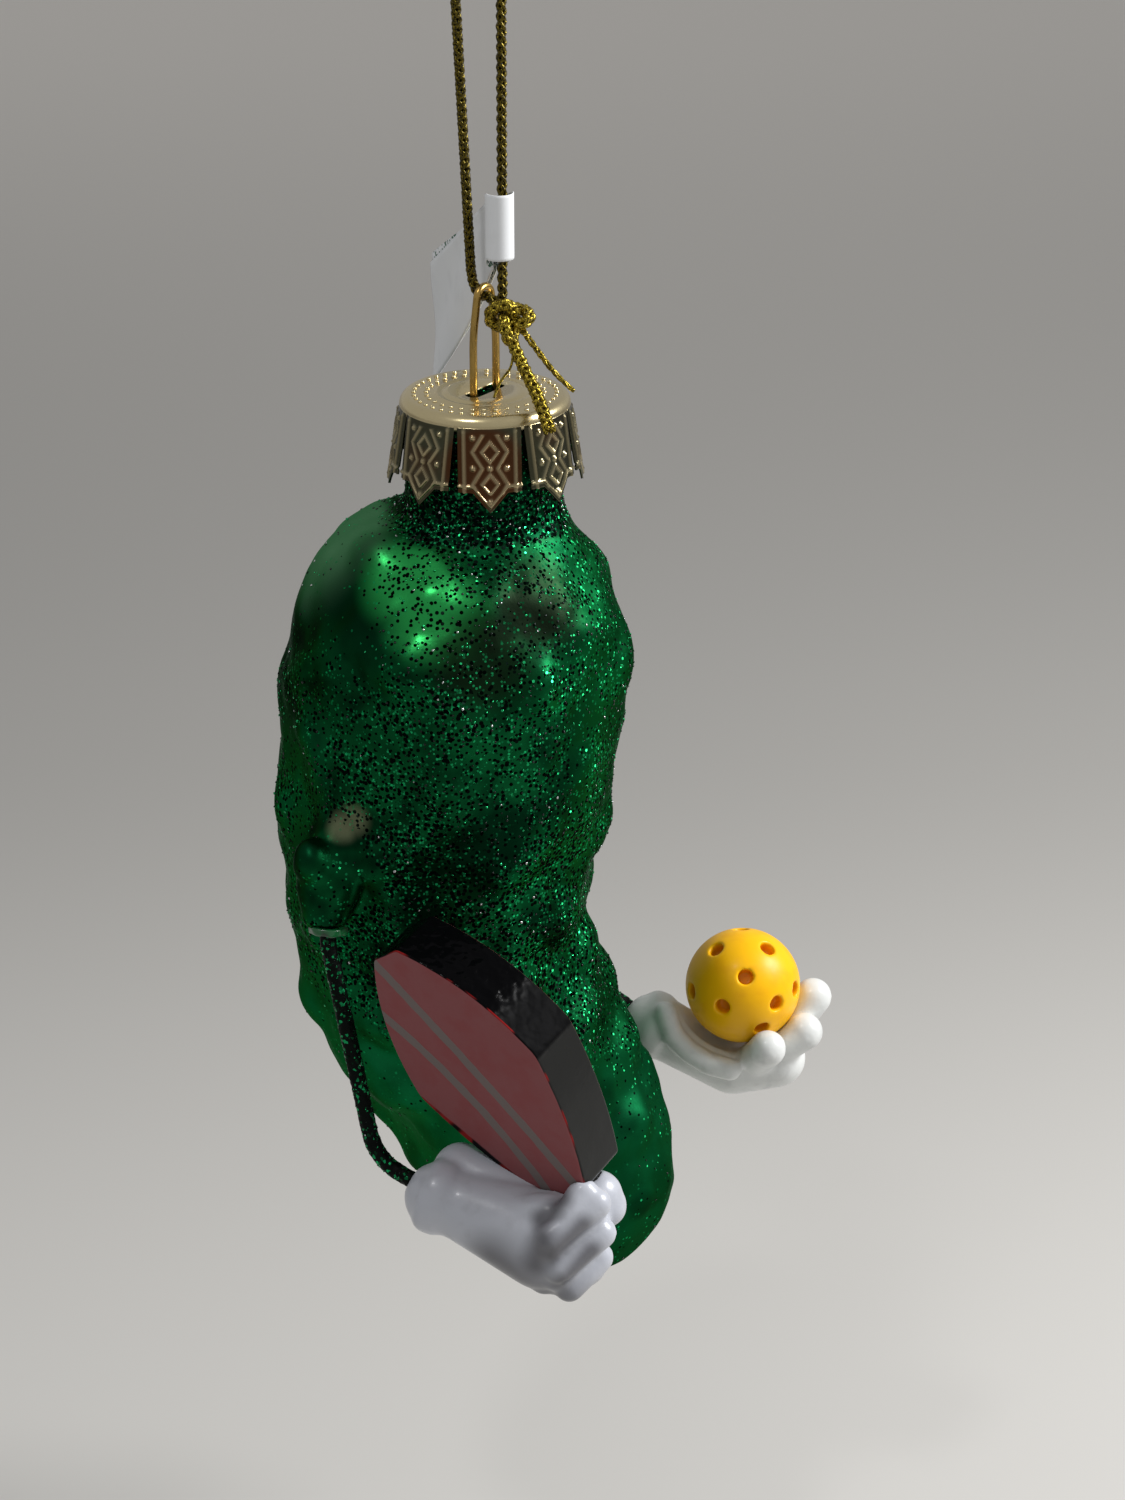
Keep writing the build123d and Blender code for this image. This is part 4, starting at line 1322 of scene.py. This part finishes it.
def paddle_finish(tones):
    """Mauve faces with two stripes and a thin red line, on a black gloss edge with a painted grey reflection
    on its lower side.
    """
    finish = Finish("paddle_paint")
    centre = PADDLE_CENTRE_MM * MM
    wobble = finish.cloud(2.5 * MM, 2.0) - 0.5
    rise = abs(finish.along(centre, PADDLE_NORMAL)) + 0.08 * MM * wobble
    down = finish.along(centre, PADDLE_AXIS)
    across = finish.along(centre, PADDLE_NORMAL.cross(PADDLE_AXIS)) + 0.35 * MM * wobble
    half = PADDLE_THICKNESS_MM / 2 * MM
    face = rise.step(*[half - below * MM for below in PADDLE_FACE_MM])
    line = rise.step(*[half - below * MM for below in PADDLE_LINE_MM])
    stripe = None
    for start, end, top, foot, bow in PADDLE_STRIPES_MM:
        share = (down - top * MM) / ((foot - top) * MM)
        middle = start * MM + (end - start) * MM * share + 4 * bow * MM * share * (1 - share)
        half_width = PADDLE_STRIPE_MM / 2 * MM
        band = 1 - (abs(across - middle) - half_width).step(-0.06 * MM, 0.06 * MM)
        stripe = band if stripe is None else stripe.upper_of(band)
    rim = across + PADDLE_EDGE_MM * MM - PADDLE_EDGE_SLOPE * down
    rim = (1 - rim.step(0.6 * PADDLE_EDGE_LINE_MM * MM, PADDLE_EDGE_LINE_MM * MM)) * (down > 0)
    brush = finish.cloud(3 * MM, 3.0)
    grain = finish.cloud(0.35 * MM, 2.0)
    ripple = finish.cloud(1.5 * MM, 1.0)
    pink = finish.mix(brush.step(0.4, 0.7) * 0.15, tones.paddle_pink, tones.paddle_line)
    grey = finish.mix(grain * 0.3, tones.paddle_stripe, tones.paddle_pink)
    tint = finish.mix(stripe, pink, grey)
    lower_side = down.step(*PADDLE_SIDE) * (across > 0)
    near_side = finish.along(centre, PADDLE_NORMAL) > 0
    dull = down.step(*PADDLE_DULL_START) * (1 - down.step(*PADDLE_DULL_END)) * (1 - lower_side)
    patchy = line * near_side * finish.cloud(4 * MM, 1.0).step(0.46, 0.56)
    # Painted reflection: the lower side of the black edge is grey
    edge = finish.mix(lower_side, tones.paddle_black, tones.paddle_grey)
    edge = finish.mix(patchy, edge, tones.paddle_line)
    tint = finish.mix(face * (1 - rim), edge, tint)
    relief = 0.3 * brush + 0.04 * grain + ripple * (1 - face) * (1 - lower_side)
    return finish.done(
        Base_Color=tint,
        Roughness=0.08 + 0.08 * brush + (0.30 * face).upper_of(0.5 * dull),
        Specular_IOR_Level=0.05,
        Normal=finish.bump(relief, 0.5 * MM, 0.5),
    )


class ORNAMENT_OT_paddle(bpy.types.Operator):
    """Paints the paddle"""

    bl_idname = "ornament.paint_paddle"
    bl_label = "Paddle"

    def execute(self, context):
        tones = context.scene.ornament_colours
        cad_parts["paddle"].material_slots[0].material = paddle_finish(tones)
        return {"FINISHED"}


def ball_finish(tones):
    """Yellow paint, deeper in the holes."""
    finish = Finish("ball_paint")
    low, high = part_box("pickleball")
    depth = finish.vector("DISTANCE", finish.place(), (low + high) / 2, output="Value")
    radius = (high.z - low.z) / 2
    hollow = 1 - depth.step(radius - 1.0 * MM, radius - 0.15 * MM)
    brush = finish.cloud(2.6 * MM, 3.0)
    tint = finish.mix(brush.step(0.45, 0.75) * 0.3, tones.ball_yellow, tones.ball_amber)
    tint = finish.mix(hollow, tint, tones.ball_amber)
    return finish.done(
        Base_Color=tint,
        Roughness=0.30 + 0.16 * brush,
        Specular_IOR_Level=0.25,
        Coat_Weight=0.04,
        Coat_Roughness=0.15,
        Normal=finish.bump(brush, 0.1 * MM, 0.3),
    )


class ORNAMENT_OT_ball(bpy.types.Operator):
    """Rounds the ball's holes off and paints it"""

    bl_idname = "ornament.make_ball"
    bl_label = "Ball"

    def execute(self, context):
        tones = context.scene.ornament_colours
        shape = smooth_skin(shape_from("pickleball"), *BALL_SKIN)
        new_piece("holed_ball", shape, [ball_finish(tones)], "pickle", ["pickleball"])
        return {"FINISHED"}


class ORNAMENT_OT_cord(bpy.types.Operator):
    """Braids the hanging cord, ties its knot and frays its loose ends"""

    bl_idname = "ornament.make_cord"
    bl_label = "Cord"

    def execute(self, context):
        sizes = context.scene.ornament_sizes
        tones = context.scene.ornament_colours
        gold = yarn_finish("cord_gold", tones.cord_gold, tones.cord_olive, 0.75)
        olive = yarn_finish("cord_olive", tones.cord_olive, tones.speck, 0.5)
        bright = yarn_finish("knot_gold", tones.knot_gold, tones.cord_amber, 0.85)
        ends = [bright, gold]
        diameter = sizes.cord_diameter
        path = spline_points([Vector(p) * MM for p in CORD_ROUTE_MM], CORD_SPACING)
        lines = braid_lines(path, diameter, sizes.braid_pitch, sizes.braid_pairs)
        shape = yarn_shape(lines, diameter * STRAND_SHARE)
        loop = new_piece("hanging_cord", shape, [gold, olive], "cord", ["cord_loop"])
        shape = knot_shape(sizes)
        knot = new_piece("cord_overhand_knot", shape, ends, "cord", ["cord_knot"])
        shape = thick_end(tail_line(THICK_TAIL_MM), sizes)
        thick = tail_piece("cord_end_braided", shape, ends, "cord_tail_thick")
        shape = thin_end(tail_line(THIN_TAIL_MM), sizes)
        thin = tail_piece("cord_end_frayed", shape, ends, "cord_tail_thin")
        return {"FINISHED"}


def knot_shape(sizes):
    """A braided overhand knot, drawn tight."""
    line = []
    for step in range(KNOT_STEPS + 1):
        turn = FULL_TURN * step / KNOT_STEPS
        across = math.sin(turn) + 2 * math.sin(2 * turn)
        rise = math.cos(turn) - 2 * math.cos(2 * turn)
        line.append(Vector((across * KNOT_REACH, -math.sin(3 * turn) * KNOT_DEPTH, rise * KNOT_REACH)))
    tilt = Matrix.Rotation(math.radians(-25), 4, "X") @ Matrix.Rotation(math.radians(20), 4, "Z")
    line = [tilt @ p + KNOT_MM * MM for p in line]
    points = stepped(line, TAIL_SPACING)
    lines = braid_lines(points, sizes.cord_diameter * 1.25, sizes.braid_pitch, sizes.braid_pairs)
    return yarn_shape(lines, sizes.cord_diameter * 0.24)


def thick_end(points, sizes):
    """Strands of the braided end, which splay a little where it is cut."""
    lines = braid_lines(points, sizes.thick_tail, sizes.braid_pitch, sizes.braid_pairs, taper=-0.2)
    return yarn_shape(lines, sizes.thick_tail * 0.17)


def thin_end(points, sizes):
    """Strands of the frayed end, closer towards their tips, and one filament that came loose."""
    lines = braid_lines(points, sizes.thin_tail * 0.9, sizes.braid_pitch, 2, taper=0.5)
    lines.append(tail_line(FILAMENT_MM))
    return yarn_shape(lines, sizes.thin_tail * 0.15)


def tail_line(route_mm):
    """Points along a loose end that starts at the knot."""
    return spline_points([(KNOT_MM + Vector(p)) * MM for p in route_mm], TAIL_SPACING)


def tail_piece(name, shape, finishes, node):
    """A loose cord end below the knot, kept out of the bodies, with its place baked into its mesh."""
    piece = new_object(name, shape, finishes)
    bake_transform(piece)
    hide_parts(node)
    return piece


class ORNAMENT_OT_stage(bpy.types.Operator):
    """Sets the pale floor, the soft lamps and the camera"""

    bl_idname = "ornament.make_stage"
    bl_label = "Stage"

    def execute(self, context):
        tones = context.scene.ornament_colours
        shape = bmesh.new()
        bmesh.ops.create_grid(shape, x_segments=8, y_segments=8, size=FLOOR_HALF)
        bmesh.ops.translate(shape, verts=shape.verts, vec=(0, 0, cad_low.z - FLOOR_DROP))
        finish = Finish("floor_pale")
        behind = finish.along((0, 0, 0), (0, 1, 0))
        tint = finish.mix(behind.step(*FLOOR_MID), tones.floor_pale, tones.floor_mid)
        tint = finish.mix(behind.step(*FLOOR_FAR), tint, tones.floor_far)
        floor = new_object("floor", shape, [finish.done(Base_Color=tint, Roughness=0.6)])

        for name, place, size, power in LAMPS:
            self.add_lamp(name, place, size, power)
        self.light_world()

        camera = linked("camera", bpy.data.cameras.new("camera"))
        camera.data.lens = CAMERA_LENS
        camera.data.sensor_width = CAMERA_SENSOR
        camera.location = CAMERA_PLACE
        camera.rotation_euler = (CAMERA_TILT, 0, 0)
        bpy.context.scene.camera = camera
        bpy.context.scene.view_settings.view_transform = "Standard"
        return {"FINISHED"}

    def add_lamp(self, name, place, size, power):
        """A square soft lamp that faces the ornament."""
        lamp = linked(name, bpy.data.lights.new(name, "AREA"))
        lamp.data.size = size
        lamp.data.energy = power
        lamp.location = place
        middle = (cad_low + cad_high) / 2
        lamp.rotation_euler = (middle - Vector(place)).to_track_quat("-Z", "Y").to_euler()

    def light_world(self):
        """Even room light."""
        world = bpy.data.worlds.new("room")
        world.use_nodes = True
        sky = world.node_tree.nodes["Background"]
        sky.inputs["Color"].default_value = (1, 1, 1, 1)
        sky.inputs["Strength"].default_value = ROOM_LIGHT
        bpy.context.scene.world = world


class ORNAMENT_PT_panel(bpy.types.Panel):
    """Lists the ornament's pieces"""

    bl_idname = "ORNAMENT_PT_panel"
    bl_label = "Pickle ornament"
    bl_space_type = "VIEW_3D"
    bl_region_type = "UI"
    bl_category = "Ornament"

    def draw(self, context):
        for step in STEPS:
            self.layout.operator(step.bl_idname)
        for group in (context.scene.ornament_sizes, context.scene.ornament_colours):
            for name in group.__annotations__:
                self.layout.prop(group, name)


STEPS = [
    ORNAMENT_OT_stage,
    ORNAMENT_OT_glass,
    ORNAMENT_OT_hanger,
    ORNAMENT_OT_tag,
    ORNAMENT_OT_cord,
    ORNAMENT_OT_arms,
    ORNAMENT_OT_gloves,
    ORNAMENT_OT_paddle,
    ORNAMENT_OT_ball,
]
CLASSES = [OrnamentSizes, OrnamentColours, *STEPS, ORNAMENT_PT_panel]


def register():
    for made in CLASSES:
        bpy.utils.register_class(made)
    bpy.types.Scene.ornament_sizes = PointerProperty(type=OrnamentSizes)
    bpy.types.Scene.ornament_colours = PointerProperty(type=OrnamentColours)


def unregister():
    del bpy.types.Scene.ornament_colours
    del bpy.types.Scene.ornament_sizes
    for made in reversed(CLASSES):
        bpy.utils.unregister_class(made)


def main():
    """Runs every operator."""
    register()
    for step in STEPS:
        group, name = step.bl_idname.split(".")
        getattr(getattr(bpy.ops, group), name)()


if __name__ == "__main__":
    main()
